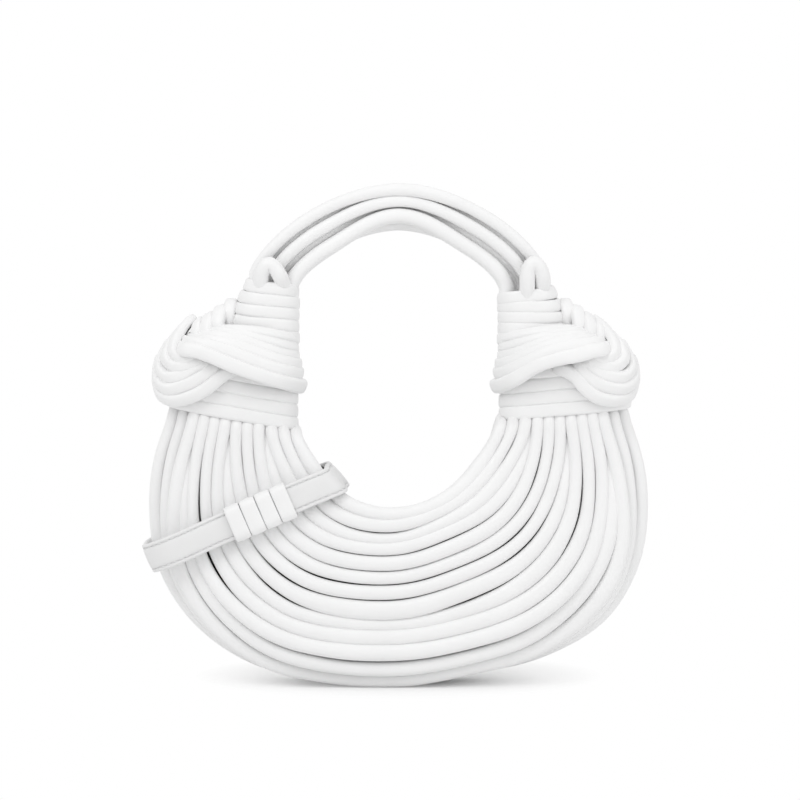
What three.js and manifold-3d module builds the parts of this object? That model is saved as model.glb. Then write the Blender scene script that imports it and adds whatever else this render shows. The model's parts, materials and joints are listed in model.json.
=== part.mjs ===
// A knotted clutch bag made of soft round cords.
// Twenty-nine cords hang side by side between two knots and make the body. Six more make the handle.
// Millimetres, +Z up, +X to the right in the front view, +Y from the front of the bag to the back.
// The origin lies on the floor, in the middle of the flat under the keel cord.
import * as THREE from "three";
import { mergeVertices } from "three/addons/utils/BufferGeometryUtils.js";
import Module from "manifold-3d";

const wasm = await Module();
wasm.setup();

// Driving dimensions

const CORD_DIAMETER = 7.2; // body and handle cord
const CORD_PITCH = 7.85; // centre to centre of two neighbouring body cords
const FIT_GAP = 0.3; // clearance between pieces that touch
const CORD_SIDES = 6;

const BODY_WIDTH = 250; // over the outermost cord
const BODY_FULLNESS = 2.3; // exponent of the outline: 2 is an ellipse, more is squarer
const FLOOR_PRESS = 3; // how far the floor pushes the keel up in the middle, into a flat
const WIDEST_HEIGHT = 90; // where the body is widest
const GATHER_HEIGHT = 133; // where the cords run into the knots
const GATHER_WIDTH = 60; // centre of the outermost cord to centre of the mouth cord, at a knot
const MOUTH_HEIGHT = 84.5; // centre of the mouth cord in the middle of the bag
const FLOOR_CUT = CORD_DIAMETER / 10; // how deep the floor flattens the bottom cords

const BOTTOM_LINKS = 2; // cords that lie on the floor, beside the keel cord
const CORNER_LINKS = 2; // cords that turn from the floor up into the wall
const WALL_LINKS = 10; // cords of one wall, up to the mouth
const KEEL_LINK_ANGLE = 30; // degrees: the first pair of cords beside the keel cord, at a knot
const ARM_ZIGZAG = 5; // degrees: how far neighbours step in and out where the fan is widest
const ARM_STATION = 0.55; // where that is, from 0 at a knot to 1 in the middle
const WALL_LEAN = -3; // degrees: the walls lean in towards the mouth
const FULL_STATION = 0.97; // from here to the middle the bag has its full depth
const BODY_STEPS = 9; // steps along half a cord

const HANDLE_TOP = 250; // top of the handle
const HANDLE_ROW_PITCH = 8.1; // centre to centre of the handle's rows, at the top
const HANDLE_ROWS = 3;
const HANDLE_ROOT_DIAMETER = 6; // the cords are squeezed where the neck holds them
const HANDLE_ROOT_PITCH = 6.6;
const HANDLE_LEAN = 20; // degrees: the cords lean inwards as they leave the neck
const HANDLE_RISE = 16; // how far the lean carries up the arch
const HANDLE_CROWN = 0.43; // share of the half span that is nearly level
const HANDLE_SWELL = 12; // length over which a squeezed cord regains its full diameter
const HANDLE_STEPS = 9; // steps along half a handle cord
const TILT_RADIUS = 9; // round foot on which the handle leans to the front and the back

const KNOT_SPAN = 111.2; // reach of the outermost cord at the knots for which they are drawn
const KNOT_CENTRE = 84; // from the middle of the bag to the middle of a knot, at that reach
const KNOT_CORE_HALF_WIDTH = 28;
const KNOT_CORE_HALF_DEPTH = 10;
const KNOT_WAIST_HEIGHT = 160; // the core keeps its width up to here
const NECK_FOOT_HEIGHT = 178;
const NECK_TOP_HEIGHT = 202;
const NECK_FOOT_CENTRE = 67.5;
const NECK_TOP_CENTRE = 63.2;
const NECK_FOOT_HALF_WIDTH = 14;
const NECK_TOP_HALF_WIDTH = 9.9;
const NECK_HALF_DEPTH = 10.3;
const NECK_RIM = 3; // the core stops this far below the top of the neck winding
const CORE_SIDES = 24;

const WRAP_WIDTH = 5.8; // wound cord, along the winding's axis
const WRAP_THICKNESS = 4; // wound cord at the base of a knot, pressed flat
const NECK_WRAP_THICKNESS = 2.8;
const WRAP_PITCH = 6.3;
const WRAP_SLACK = 0.4; // an oval's offset falls a little short between its axes
const BASE_TURNS = 3;
const NECK_TURNS = 3;
const STEPS_PER_TURN = 18;
const WRAP_SIDES = 6;

const STRAND_DIAMETER = 6.2; // cords of the band and the curl
const BAND_STRANDS = 6;
const CURL_STRANDS = 5;
const SHOULDER_STRANDS = 4;
const STRAND_STEPS = 8; // steps along half a strand
const BIGHT_DIAMETER = 5.2;
const BIGHT_WIDTH = 9.5; // centre to centre of its legs
const BIGHT_HEIGHT = 12;
const BIGHT_FRONT = 13.2; // in front of the neck's middle
const LEFT_BIGHT_SHIFT = -1.2; // outwards from the neck's middle
const RIGHT_BIGHT_SHIFT = 2.8;

const STRAP_WIDTH = 15;
const STRAP_THICKNESS = 2.2;
const STRAP_SLOPE = 23.3; // degrees: it climbs towards the mouth
const STRAP_INSET = 49.7; // from the side of the body to the strap's middle
const STRAP_CENTRE_HEIGHT = 84.8;
const STRAP_HALF_LENGTH = 54.2; // outside
const STRAP_FRONT_DEPTH = 29; // outside, from the middle plane
const STRAP_BACK_DEPTH = 26.4;
const STRAP_OUTER_CORNER = 16; // outside radius where it folds over the outline
const STRAP_MOUTH_CORNER = 6; // outside radius where it folds over the mouth
const STRAP_CORNER_STEPS = 6;

const KEEPER_TURNS = 4;
const KEEPER_WRAP_WIDTH = 8;
const KEEPER_WRAP_THICKNESS = 3;
const KEEPER_PITCH = 8.6;
const KEEPER_OFFSET = 8; // from the middle of the strap towards the mouth
const KEEPER_STEPS = 24; // steps per turn

const LINING_THICKNESS = 1.2;
const LINING_START = 0.36; // station of the lining's two ends
const LINING_STEPS = 6;
const LINING_CHAMFER = 5;
const LINING_BELOW_MOUTH = 1.5;
const SNAP_DIAMETER = 14;
const SNAP_THICKNESS = 2;
const SNAP_NUB_DIAMETER = 5;
const SNAP_NUB_HEIGHT = 1;
const SNAP_BELOW_MOUTH = 12;
const SNAP_SIDES = 20;

// Sizes that follow from them

const cordRadius = CORD_DIAMETER / 2;
const strandRadius = STRAND_DIAMETER / 2;
const linkCount = BOTTOM_LINKS + CORNER_LINKS + WALL_LINKS;
const keelHeight = cordRadius - FLOOR_CUT;
const outlineHalfWidth = BODY_WIDTH / 2 - cordRadius;
const outlineHalfHeight = WIDEST_HEIGHT - keelHeight + FLOOR_PRESS;
const mouthReach = MOUTH_HEIGHT - keelHeight + FLOOR_PRESS;
const coreFoot = GATHER_HEIGHT + FIT_GAP;

// Materials: white leather cloth over round cords, a woven lining and plated snaps

const leather = (name, colour, roughness) =>
  new THREE.MeshStandardMaterial({ name, color: colour, roughness, metalness: 0 });
const cordLeather = leather("cord_leather", 0xf1f1f0, 0.5);
const wrapLeather = leather("wrap_leather", 0xeeeeed, 0.52);
const strapLeather = leather("strap_leather", 0xeaeaea, 0.55);
const liningCloth = leather("lining_cloth", 0x403e3c, 0.9);
const snapMetal = new THREE.MeshStandardMaterial({
  name: "snap_metal",
  color: 0xc9c9c7,
  roughness: 0.3,
  metalness: 1,
});

// Small helpers

const radians = THREE.MathUtils.degToRad;
const mix = THREE.MathUtils.lerp;
const ease = (x) => THREE.MathUtils.smoothstep(x, 0, 1);
const vec = (x, y, z) => new THREE.Vector3(x, y, z);
const signedPower = (x, p) => Math.sign(x) * Math.abs(x) ** p;
const numbered = (count, make) => Array.from({ length: count }, (_, i) => make(i));

// A closed solid through rings of points that all hold the same number of points.
function loft(rings) {
  const sides = rings[0].length;
  const faces = [];
  for (let i = 0; i + 1 < rings.length; i++) {
    for (let j = 0; j < sides; j++) {
      const a = i * sides + j;
      const b = i * sides + ((j + 1) % sides);
      faces.push(a, b, a + sides, b, b + sides, a + sides);
    }
  }
  const last = (rings.length - 1) * sides;
  capFaces(rings[0]).forEach(([a, b, c]) => faces.push(a, c, b));
  capFaces(rings.at(-1)).forEach(([a, b, c]) => faces.push(last + a, last + b, last + c));
  return new THREE.BufferGeometry().setFromPoints(rings.flat()).setIndex(faces);
}

// Triangles that close one ring, turned the way the ring turns.
function capFaces(ring) {
  const normal = vec(0, 0, 0);
  ring.forEach((p, j) => normal.add(p.clone().cross(ring[(j + 1) % ring.length])));
  normal.normalize();
  const across = ring[1].clone().sub(ring[0]);
  across.addScaledVector(normal, -across.dot(normal)).normalize();
  const up = normal.clone().cross(across);
  const flat = ring.map((p) => new THREE.Vector2(p.dot(across), p.dot(up)));
  return THREE.ShapeUtils.triangulateShape(flat, []);
}

// The direction in which a route runs at each of its points.
function tangentsOf(route) {
  return route.map((_, i) => {
    const ahead = route[Math.min(i + 1, route.length - 1)];
    const behind = route[Math.max(i - 1, 0)];
    return ahead.clone().sub(behind).normalize();
  });
}

// Directions square to a route, carried along it without a twist, from a first guess.
function carriedNormals(route, first) {
  let normal = first.clone();
  return tangentsOf(route).map((tangent) => {
    normal = normal.clone().addScaledVector(tangent, -normal.dot(tangent)).normalize();
    return normal;
  });
}

// The rings of a cord along a route. halfAcross lies along the normals and halfAlong square to them.
function cordRings(route, normals, halfAcross, halfAlong, sides) {
  const tangents = tangentsOf(route);
  return route.map((centre, i) => {
    const tangent = tangents[i];
    const normal = normals[i].clone().addScaledVector(tangent, -normals[i].dot(tangent)).normalize();
    const side = tangent.clone().cross(normal);
    const [across, along] = [halfAcross, halfAlong].map((half) => (half.call ? half(i) : half));
    return numbered(sides, (j) => {
      const angle = (2 * Math.PI * (j + 0.5)) / sides;
      return centre
        .clone()
        .addScaledVector(normal, across * Math.cos(angle))
        .addScaledVector(side, along * Math.sin(angle));
    });
  });
}

// Moves each point of an end ring along the cord until the height that levelAt gives for it.
function trimEnd(ring, tangent, levelAt) {
  ring.forEach((p) => p.addScaledVector(tangent, (levelAt(p) - p.z) / tangent.z));
}

function solidOf(geometry) {
  const bare = geometry.clone();
  bare.deleteAttribute("normal");
  bare.deleteAttribute("uv");
  const merged = mergeVertices(bare);
  return new wasm.Manifold(
    new wasm.Mesh({
      numProp: 3,
      vertProperties: new Float32Array(merged.attributes.position.array),
      triVerts: new Uint32Array(merged.index.array),
    }),
  );
}

function geometryOf(solid) {
  const mesh = solid.getMesh();
  return new THREE.BufferGeometry()
    .setAttribute("position", new THREE.BufferAttribute(mesh.vertProperties, mesh.numProp))
    .setIndex(new THREE.BufferAttribute(mesh.triVerts, 1));
}

function piece(name, geometry, material) {
  const mesh = new THREE.Mesh(geometry, material);
  mesh.name = name;
  return mesh;
}

const padded = (number) => String(number).padStart(2, "0");

// Prints how near a winding comes to itself, measured between turns on its centre line.
function reportSelfGap(name, route, stepsPerTurn, width) {
  let least = Infinity;
  route.forEach((p, i) => {
    const nextTurn = route.slice(i + Math.floor(0.75 * stepsPerTurn));
    least = Math.min(least, ...nextTurn.map((q) => p.distanceTo(q)));
  });
  console.log(`${name}: least gap to itself ${(least - width).toFixed(2)} mm`);
}

// Body: every cord crosses a section that turns about the middle of the line between the knots.
// In a section the cords are a chain of equal links, so neighbours always keep their pitch.

// The outline as it would be without the floor.
function outlinePoint(station) {
  const power = 2 / BODY_FULLNESS;
  const start = -Math.asin(((GATHER_HEIGHT - WIDEST_HEIGHT) / outlineHalfHeight) ** (1 / power));
  const angle = mix(start, Math.PI / 2, station);
  return {
    x: outlineHalfWidth * Math.max(Math.cos(angle), 0) ** power,
    z: WIDEST_HEIGHT - outlineHalfHeight * signedPower(Math.sin(angle), power),
  };
}

// The zigzag that packs the wall's links into a given width, less what the first links take.
function zigzagFor(width, takenByFirstLinks, links) {
  return THREE.MathUtils.radToDeg(Math.acos((width / CORD_PITCH - takenByFirstLinks) / links));
}

const cornerAngle = (link) => 90 * (1 - (link - BOTTOM_LINKS) / (CORNER_LINKS + 1));
const cornerShares = numbered(CORNER_LINKS, (i) => Math.cos(radians(cornerAngle(BOTTOM_LINKS + 1 + i))));
const cornerShare = cornerShares.reduce((sum, share) => sum + share, 0);
const wallShare = WALL_LINKS * Math.cos(radians(WALL_LEAN));
const gatherZigzag = zigzagFor(GATHER_WIDTH, Math.cos(radians(KEEL_LINK_ANGLE)), linkCount - 1);
const middleZigzag = zigzagFor(mouthReach, cornerShare, wallShare);

function zigzagAt(station) {
  return station < ARM_STATION
    ? mix(gatherZigzag, ARM_ZIGZAG, ease(station / ARM_STATION))
    : mix(ARM_ZIGZAG, middleZigzag, ease((station - ARM_STATION) / (1 - ARM_STATION)));
}

// The direction of one link, in degrees from the plane of the outline towards the depth of the bag.
function linkAngle(link, station) {
  const sign = link % 2 ? -1 : 1;
  const form = ease(station / FULL_STATION);
  const isWall = link > BOTTOM_LINKS + CORNER_LINKS;
  if (isWall) return WALL_LEAN * form + sign * zigzagAt(station);
  const atKnot = link === 1 ? KEEL_LINK_ANGLE : sign * gatherZigzag;
  const inMiddle = link > BOTTOM_LINKS ? cornerAngle(link) : 90;
  return mix(atKnot, inMiddle, form);
}

// The chain's joints: how far in from the outline, and how far from the middle plane.
function chainAt(station) {
  const joints = [{ inward: 0, depth: 0 }];
  for (let link = 1; link <= linkCount; link++) {
    const last = joints.at(-1);
    const angle = radians(linkAngle(link, station));
    joints.push({
      inward: last.inward + CORD_PITCH * Math.cos(angle),
      depth: last.depth + CORD_PITCH * Math.sin(angle),
    });
  }
  return joints;
}

// A point of a section: side is -1 on the left and 1 on the right of the bag.
// The floor lifts the keel most, and the cords above it less and less up to the mouth.
function sectionPoint(side, station, inward, y) {
  const outer = outlinePoint(station);
  const toMiddle = new THREE.Vector2(-outer.x, GATHER_HEIGHT - outer.z).normalize();
  const lift = Math.max(0, keelHeight - outer.z) * (1 - inward / mouthReach);
  return vec(side * (outer.x + inward * toMiddle.x), y, outer.z + inward * toMiddle.y + lift);
}

function bodyCordRoute(link, face) {
  const half = numbered(BODY_STEPS + 1, (i) => {
    const station = i / BODY_STEPS;
    const joint = chainAt(station)[link];
    return [-1, 1].map((side) => sectionPoint(side, station, joint.inward, face * joint.depth));
  });
  const left = half.map((pair) => pair[0]);
  const right = half.map((pair) => pair[1]);
  return [...left, ...right.reverse().slice(1)];
}

const floorBlock = new THREE.BoxGeometry(2 * BODY_WIDTH, BODY_WIDTH, BODY_WIDTH);
const belowFloor = solidOf(floorBlock.translate(0, 0, -BODY_WIDTH / 2));

function bodyCord(name, link, face) {
  const route = bodyCordRoute(link, face);
  const normals = carriedNormals(route, vec(0, 1, 0));
  const rings = cordRings(route, normals, cordRadius, cordRadius, CORD_SIDES);
  const tangents = tangentsOf(route);
  trimEnd(rings[0], tangents[0], () => GATHER_HEIGHT);
  trimEnd(rings.at(-1), tangents.at(-1), () => GATHER_HEIGHT);
  const whole = loft(rings);
  const onFloor = link <= BOTTOM_LINKS;
  return piece(name, onFloor ? geometryOf(solidOf(whole).subtract(belowFloor)) : whole, cordLeather);
}

function makeBody() {
  const group = new THREE.Group();
  group.add(bodyCord("keel_cord", 0, 1));
  for (let link = 1; link <= linkCount; link++) {
    group.add(bodyCord(`front_cord_${padded(link)}`, link, -1));
    group.add(bodyCord(`back_cord_${padded(link)}`, link, 1));
  }
  return group;
}

// Knots: the same for both sides, drawn for the right one, with x counted outwards from the middle.
// They and the handle's feet stay at the ends of the body cords, however wide the body is.
const knotShift = outlinePoint(0).x - KNOT_SPAN;
const neckCentre = NECK_TOP_CENTRE + knotShift;

// The core's half widths and centre at a height.
function coreSection(height) {
  const levels = [
    [coreFoot, KNOT_CENTRE, KNOT_CORE_HALF_WIDTH, KNOT_CORE_HALF_DEPTH],
    [KNOT_WAIST_HEIGHT, KNOT_CENTRE, KNOT_CORE_HALF_WIDTH, KNOT_CORE_HALF_DEPTH],
    [NECK_FOOT_HEIGHT, NECK_FOOT_CENTRE, NECK_FOOT_HALF_WIDTH, NECK_HALF_DEPTH],
    [NECK_TOP_HEIGHT, NECK_TOP_CENTRE, NECK_TOP_HALF_WIDTH, NECK_HALF_DEPTH],
  ];
  const above = Math.max(1, levels.findIndex((level) => level[0] >= height));
  const [low, high] = [levels[above - 1], levels[above]];
  const share = (height - low[0]) / (high[0] - low[0]);
  const [centre, halfWidth, halfDepth] = [1, 2, 3].map((i) => mix(low[i], high[i], share));
  return { centre, halfWidth, halfDepth };
}

function coreRing(height) {
  const { centre, halfWidth, halfDepth } = coreSection(height);
  return numbered(CORE_SIDES, (j) => {
    const angle = (2 * Math.PI * j) / CORE_SIDES;
    return vec(centre + halfWidth * Math.cos(angle), halfDepth * Math.sin(angle), height);
  });
}

// The round cup at the top of the neck, in which the feet of the handle lean.
function tiltCup() {
  const radius = (TILT_RADIUS + FIT_GAP) / Math.cos(Math.PI / CORE_SIDES);
  const drum = new THREE.CylinderGeometry(radius, radius, BODY_WIDTH, CORE_SIDES);
  return solidOf(drum.rotateZ(Math.PI / 2).translate(0, 0, NECK_TOP_HEIGHT));
}

function knotCore() {
  const heights = [coreFoot, KNOT_WAIST_HEIGHT, NECK_FOOT_HEIGHT, NECK_TOP_HEIGHT - NECK_RIM];
  return geometryOf(solidOf(loft(heights.map(coreRing))).subtract(tiltCup()));
}

// One flat cord wound round the core from its back, from a lowest centre line upwards.
function windingRoute(startHeight, turns, thickness) {
  const lift = FIT_GAP + WRAP_SLACK + thickness / 2;
  const steps = turns * STEPS_PER_TURN;
  const route = [];
  const normals = [];
  for (let i = 0; i <= steps; i++) {
    const angle = Math.PI / 2 + (2 * Math.PI * i) / STEPS_PER_TURN;
    const height = startHeight + (WRAP_PITCH * i) / STEPS_PER_TURN;
    const { centre, halfWidth, halfDepth } = coreSection(height);
    const a = halfWidth + lift;
    const b = halfDepth + lift;
    route.push(vec(centre + a * Math.cos(angle), b * Math.sin(angle), height));
    normals.push(vec(b * Math.cos(angle), a * Math.sin(angle), 0).normalize());
  }
  return { route, normals };
}

// The winding's two ends run straight on for one width.
function straightenEnds({ route, normals }, length) {
  const tangents = tangentsOf(route);
  const before = route[0].clone().addScaledVector(tangents[0], -length);
  const after = route.at(-1).clone().addScaledVector(tangents.at(-1), length);
  return { route: [before, ...route, after], normals: [normals[0], ...normals, normals.at(-1)] };
}

function winding(name, startHeight, turns, thickness) {
  const plain = windingRoute(startHeight, turns, thickness);
  reportSelfGap(name, plain.route, STEPS_PER_TURN, WRAP_WIDTH);
  const { route, normals } = straightenEnds(plain, thickness);
  return loft(cordRings(route, normals, thickness / 2, WRAP_WIDTH / 2, WRAP_SIDES));
}

// Routes of the outermost and innermost strand of a family, from the tucked end to the middle plane,
// as places over the core: [outward from the middle of the bag, depth to the front, height].
const wrapLayer = FIT_GAP + WRAP_SLACK + WRAP_THICKNESS + FIT_GAP;
const curlDepth = KNOT_CORE_HALF_DEPTH + wrapLayer + strandRadius;
const bandDepth = curlDepth + STRAND_DIAMETER + FIT_GAP;
const innerSide = KNOT_CENTRE - KNOT_CORE_HALF_WIDTH - wrapLayer + WRAP_SLACK - strandRadius;
const outerSide = KNOT_CENTRE + KNOT_CORE_HALF_WIDTH + wrapLayer + strandRadius;

const bandLow = [
  [106, bandDepth - 1, 168.5],
  [97, bandDepth, 166.5],
  [86, bandDepth, 163],
  [72, bandDepth, 157.5],
  [58, bandDepth - 4, 152.5],
  [innerSide + 2, bandDepth / 2, 149.5],
  [innerSide, 0, 149],
];
const bandHigh = [
  [88, curlDepth + 1, 176.5],
  [82, curlDepth + 2, 177.3],
  [75, curlDepth + 2, 177.3],
  [66, curlDepth + 2, 176.5],
  [56.5, curlDepth - 2, 175],
  [innerSide + 2, curlDepth / 2, 174.2],
  [innerSide, 0, 174],
];
const curlInner = [
  [101, curlDepth, 164.5],
  [106, curlDepth, 162.5],
  [111, curlDepth, 163],
  [114, curlDepth - 2, 167],
  [113.5, curlDepth - 5.5, 172],
  [110, curlDepth / 2, 178],
  [105.5, curlDepth / 4, 183],
  [102, 0, 185.5],
];
const curlOuter = [
  [80.5, curlDepth, 157.5],
  [88, curlDepth, 153],
  [97, curlDepth, 148],
  [107, curlDepth + 0.5, 144],
  [outerSide - 4, curlDepth - 3, 145],
  [outerSide - 0.5, curlDepth / 2, 150],
  [outerSide, curlDepth / 4, 155.5],
  [outerSide, 0, 161],
];
const shoulderInner = [
  [86.4, curlDepth - 6, 177],
  [85.6, curlDepth - 7.5, 184],
  [84.8, curlDepth / 3, 190.5],
  [84.3, 0, 193.5],
];
const shoulderOuter = [
  [97, curlDepth - 5, 173],
  [97, curlDepth - 6.5, 179],
  [96.5, curlDepth / 3, 185],
  [96.5, 0, 187.5],
];

// The whole route of a strand: the back mirrors the front.
function wholeRoute(front) {
  const facing = (sign) => ([x, depth, z]) => vec(x, sign * depth, z);
  const line = [...front.map(facing(-1)), ...front.slice(0, -1).map(facing(1)).reverse()];
  return new THREE.CatmullRomCurve3(line, false, "catmullrom").getPoints(2 * STRAND_STEPS);
}

// Strands side by side between a first and a last one, sewn into one ribbed band with a smooth inside.
function ribbedBand(firstFront, lastFront, count) {
  const first = wholeRoute(firstFront);
  const last = wholeRoute(lastFront);
  const middle = first.map((p, i) => p.clone().lerp(last[i], 0.5));
  const tangents = tangentsOf(middle);
  const knotMiddle = vec(KNOT_CENTRE, 0, KNOT_WAIST_HEIGHT);
  const rings = middle.map((centre, i) => {
    const across = last[i].clone().sub(first[i]).normalize();
    const out = across.clone().cross(tangents[i]).normalize();
    if (out.dot(centre.clone().sub(knotMiddle)) < 0) out.negate();
    const at = (share, along, lift) =>
      first[i].clone().lerp(last[i], share).addScaledVector(across, along).addScaledVector(out, lift);
    const share = (j) => j / (count - 1);
    const lift = (j) => (j % 2 ? strandRadius / 2 : strandRadius);
    const crests = numbered(2 * count - 1, (j) => at(share(j / 2), 0, lift(j)));
    const inside = numbered(count, (j) => at(share(count - 1 - j), 0, -strandRadius));
    return [at(0, -strandRadius, 0), ...crests, at(1, strandRadius, 0), ...inside];
  });
  const turn = rings[0][1].clone().sub(rings[0][0]).cross(rings[0][2].clone().sub(rings[0][1]));
  const facesOut = turn.dot(tangents[0]) > 0;
  return loft(facesOut ? rings : rings.map((ring) => ring.toReversed()));
}

// A small loop of cord that stands on the front of the neck winding.
function bight(shift) {
  const foot = NECK_TOP_HEIGHT - WRAP_PITCH / 2 + 2 * FIT_GAP;
  const centre = NECK_TOP_CENTRE + shift;
  const half = BIGHT_WIDTH / 2;
  const rise = BIGHT_HEIGHT - half;
  const leg = [0, rise / 2, rise];
  const arch = [45, 90, 135].map((degrees) => radians(degrees));
  const at = (x, z) => vec(centre + x, -BIGHT_FRONT, foot + z);
  const route = [
    ...leg.map((z) => at(half, z)),
    ...arch.map((turn) => at(half * Math.cos(turn), rise + half * Math.sin(turn))),
    ...leg.toReversed().map((z) => at(-half, z)),
  ];
  const radius = BIGHT_DIAMETER / 2;
  return loft(cordRings(route, carriedNormals(route, vec(0, 1, 0)), radius, radius, CORD_SIDES));
}

function makeKnot(side, hand, bightShift) {
  const group = new THREE.Group();
  const half = WRAP_WIDTH / 2;
  const neckStart = NECK_TOP_HEIGHT - half - NECK_TURNS * WRAP_PITCH;
  const wound = (name, ...sizes) => piece(name, winding(name, ...sizes), wrapLeather);
  const ribbed = (name, ...sizes) => piece(name, ribbedBand(...sizes), wrapLeather);
  group.add(
    piece(`${hand}_knot_core`, knotCore(), cordLeather),
    wound(`${hand}_base_winding`, coreFoot + half, BASE_TURNS, WRAP_THICKNESS),
    wound(`${hand}_neck_winding`, neckStart, NECK_TURNS, NECK_WRAP_THICKNESS),
    ribbed(`${hand}_knot_band`, bandLow, bandHigh, BAND_STRANDS),
    ribbed(`${hand}_knot_curl`, curlInner, curlOuter, CURL_STRANDS),
    ribbed(`${hand}_knot_shoulder`, shoulderInner, shoulderOuter, SHOULDER_STRANDS),
    piece(`${hand}_bight`, bight(bightShift), wrapLeather),
  );
  group.scale.x = side;
  group.position.x = side * knotShift;
  return group;
}

// Handle: three rows of two cords in an arch, on round feet that lean in the cups of the necks.

// From 0 where the neck holds the cords to 1 where they have their full diameter.
const swellAt = (height) => ease((height - NECK_TOP_HEIGHT) / HANDLE_SWELL);

function handleCordRoute(row, face) {
  const rowsOut = (HANDLE_ROWS - 1) / 2 - row;
  const topZ = HANDLE_TOP - cordRadius - ((HANDLE_ROWS - 1) / 2) * HANDLE_ROW_PITCH;
  const lean = radians(HANDLE_LEAN);
  const middleRow = new THREE.CubicBezierCurve3(
    vec(neckCentre, 0, NECK_TOP_HEIGHT),
    vec(neckCentre - HANDLE_RISE * Math.sin(lean), 0, NECK_TOP_HEIGHT + HANDLE_RISE * Math.cos(lean)),
    vec(neckCentre * HANDLE_CROWN, 0, topZ),
    vec(0, 0, topZ),
  );
  const half = numbered(HANDLE_STEPS + 1, (i) => {
    const centre = middleRow.getPoint(i / HANDLE_STEPS);
    const tangent = middleRow.getTangent(i / HANDLE_STEPS);
    const swell = swellAt(centre.z);
    const out = rowsOut * mix(HANDLE_ROOT_PITCH, HANDLE_ROW_PITCH, swell);
    const y = (face * mix(HANDLE_ROOT_PITCH, CORD_PITCH, swell)) / 2;
    return vec(centre.x + out * tangent.z, y, centre.z - out * tangent.x);
  });
  const foot = vec(half[0].x, half[0].y, NECK_TOP_HEIGHT - TILT_RADIUS);
  const right = [foot, ...half];
  const mirrored = right.slice(0, -1).map((p) => vec(-p.x, p.y, p.z));
  return [...right, ...mirrored.reverse()];
}

function handleCord(name, row, face) {
  const route = handleCordRoute(row, face);
  const radius = (i) => mix(HANDLE_ROOT_DIAMETER, CORD_DIAMETER, swellAt(route[i].z)) / 2;
  const rings = cordRings(route, carriedNormals(route, vec(0, 1, 0)), radius, radius, CORD_SIDES);
  const onFoot = (p) => NECK_TOP_HEIGHT - Math.sqrt(TILT_RADIUS ** 2 - p.y ** 2);
  trimEnd(rings[0], vec(0, 0, 1), onFoot);
  trimEnd(rings.at(-1), vec(0, 0, 1), onFoot);
  return piece(name, loft(rings), cordLeather);
}

function makeHandle() {
  const group = new THREE.Group();
  const rowNames = ["outer", "middle", "inner"];
  rowNames.forEach((rowName, row) => {
    group.add(handleCord(`handle_front_${rowName}_cord`, row, -1));
    group.add(handleCord(`handle_back_${rowName}_cord`, row, 1));
  });
  return group;
}

// Strap: a closed flat band round the left arm, and its keeper of wound cord.
// Both are drawn flat, with the strap's length along X and its width along Z, and then turned and placed.

function strapOutline(inset) {
  const left = -STRAP_HALF_LENGTH + inset;
  const right = STRAP_HALF_LENGTH - inset;
  const front = -STRAP_FRONT_DEPTH + inset;
  const back = STRAP_BACK_DEPTH - inset;
  const outer = STRAP_OUTER_CORNER - inset;
  const inner = STRAP_MOUTH_CORNER - inset;
  const shape = new THREE.Shape();
  shape.moveTo(left + outer, front);
  shape.lineTo(right - inner, front);
  shape.absarc(right - inner, front + inner, inner, -Math.PI / 2, 0);
  shape.lineTo(right, back - inner);
  shape.absarc(right - inner, back - inner, inner, 0, Math.PI / 2);
  shape.lineTo(left + outer, back);
  shape.absarc(left + outer, back - outer, outer, Math.PI / 2, Math.PI);
  shape.lineTo(left, front + outer);
  shape.absarc(left + outer, front + outer, outer, Math.PI, 1.5 * Math.PI);
  return shape;
}

function strapBand() {
  const shape = strapOutline(0);
  shape.holes.push(strapOutline(STRAP_THICKNESS));
  const settings = { depth: STRAP_WIDTH, bevelEnabled: false, curveSegments: STRAP_CORNER_STEPS };
  return new THREE.ExtrudeGeometry(shape, settings).translate(0, 0, -STRAP_WIDTH / 2);
}

// The keeper's cord goes round the front run of the strap, on a track with round ends.
function keeperRoute() {
  const round = STRAP_THICKNESS / Math.SQRT2 + 2 * FIT_GAP + KEEPER_WRAP_THICKNESS / 2;
  const straight = (STRAP_WIDTH - STRAP_THICKNESS) / 2;
  const middle = -STRAP_FRONT_DEPTH + STRAP_THICKNESS / 2;
  const track = 4 * straight + 2 * Math.PI * round;
  const steps = KEEPER_TURNS * KEEPER_STEPS;
  const route = [];
  const normals = [];
  for (let i = 0; i <= steps; i++) {
    const x = KEEPER_OFFSET + KEEPER_PITCH * (i / KEEPER_STEPS - KEEPER_TURNS / 2);
    const along = ((i / KEEPER_STEPS) % 1) * track;
    const { y, z, facing } = trackPoint(along, straight, round);
    route.push(vec(x, middle + y, z));
    normals.push(vec(0, facing.y, facing.z));
  }
  return { route, normals };
}

// A point of a track with two straight runs and two round ends, from the middle of the run on +Y.
function trackPoint(along, straight, round) {
  const end = Math.PI * round;
  const stretches = [straight, end, 2 * straight, end, straight];
  let left = along;
  let stretch = 0;
  while (stretch < stretches.length - 1 && left > stretches[stretch]) left -= stretches[stretch++];
  const onRun = (y, z) => ({ y: y * round, z, facing: { y, z: 0 } });
  const onEnd = (sign, turn) => {
    const facing = { y: sign * Math.cos(turn), z: sign * Math.sin(turn) };
    return { y: facing.y * round, z: sign * straight + facing.z * round, facing };
  };
  if (stretch === 0) return onRun(1, left);
  if (stretch === 1) return onEnd(1, left / round);
  if (stretch === 2) return onRun(-1, straight - left);
  if (stretch === 3) return onEnd(-1, left / round);
  return onRun(1, left - straight);
}

function keeper() {
  const { route, normals } = keeperRoute();
  reportSelfGap("strap_keeper", route, KEEPER_STEPS, KEEPER_WRAP_WIDTH);
  return loft(cordRings(route, normals, KEEPER_WRAP_THICKNESS / 2, KEEPER_WRAP_WIDTH / 2, WRAP_SIDES));
}

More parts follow.
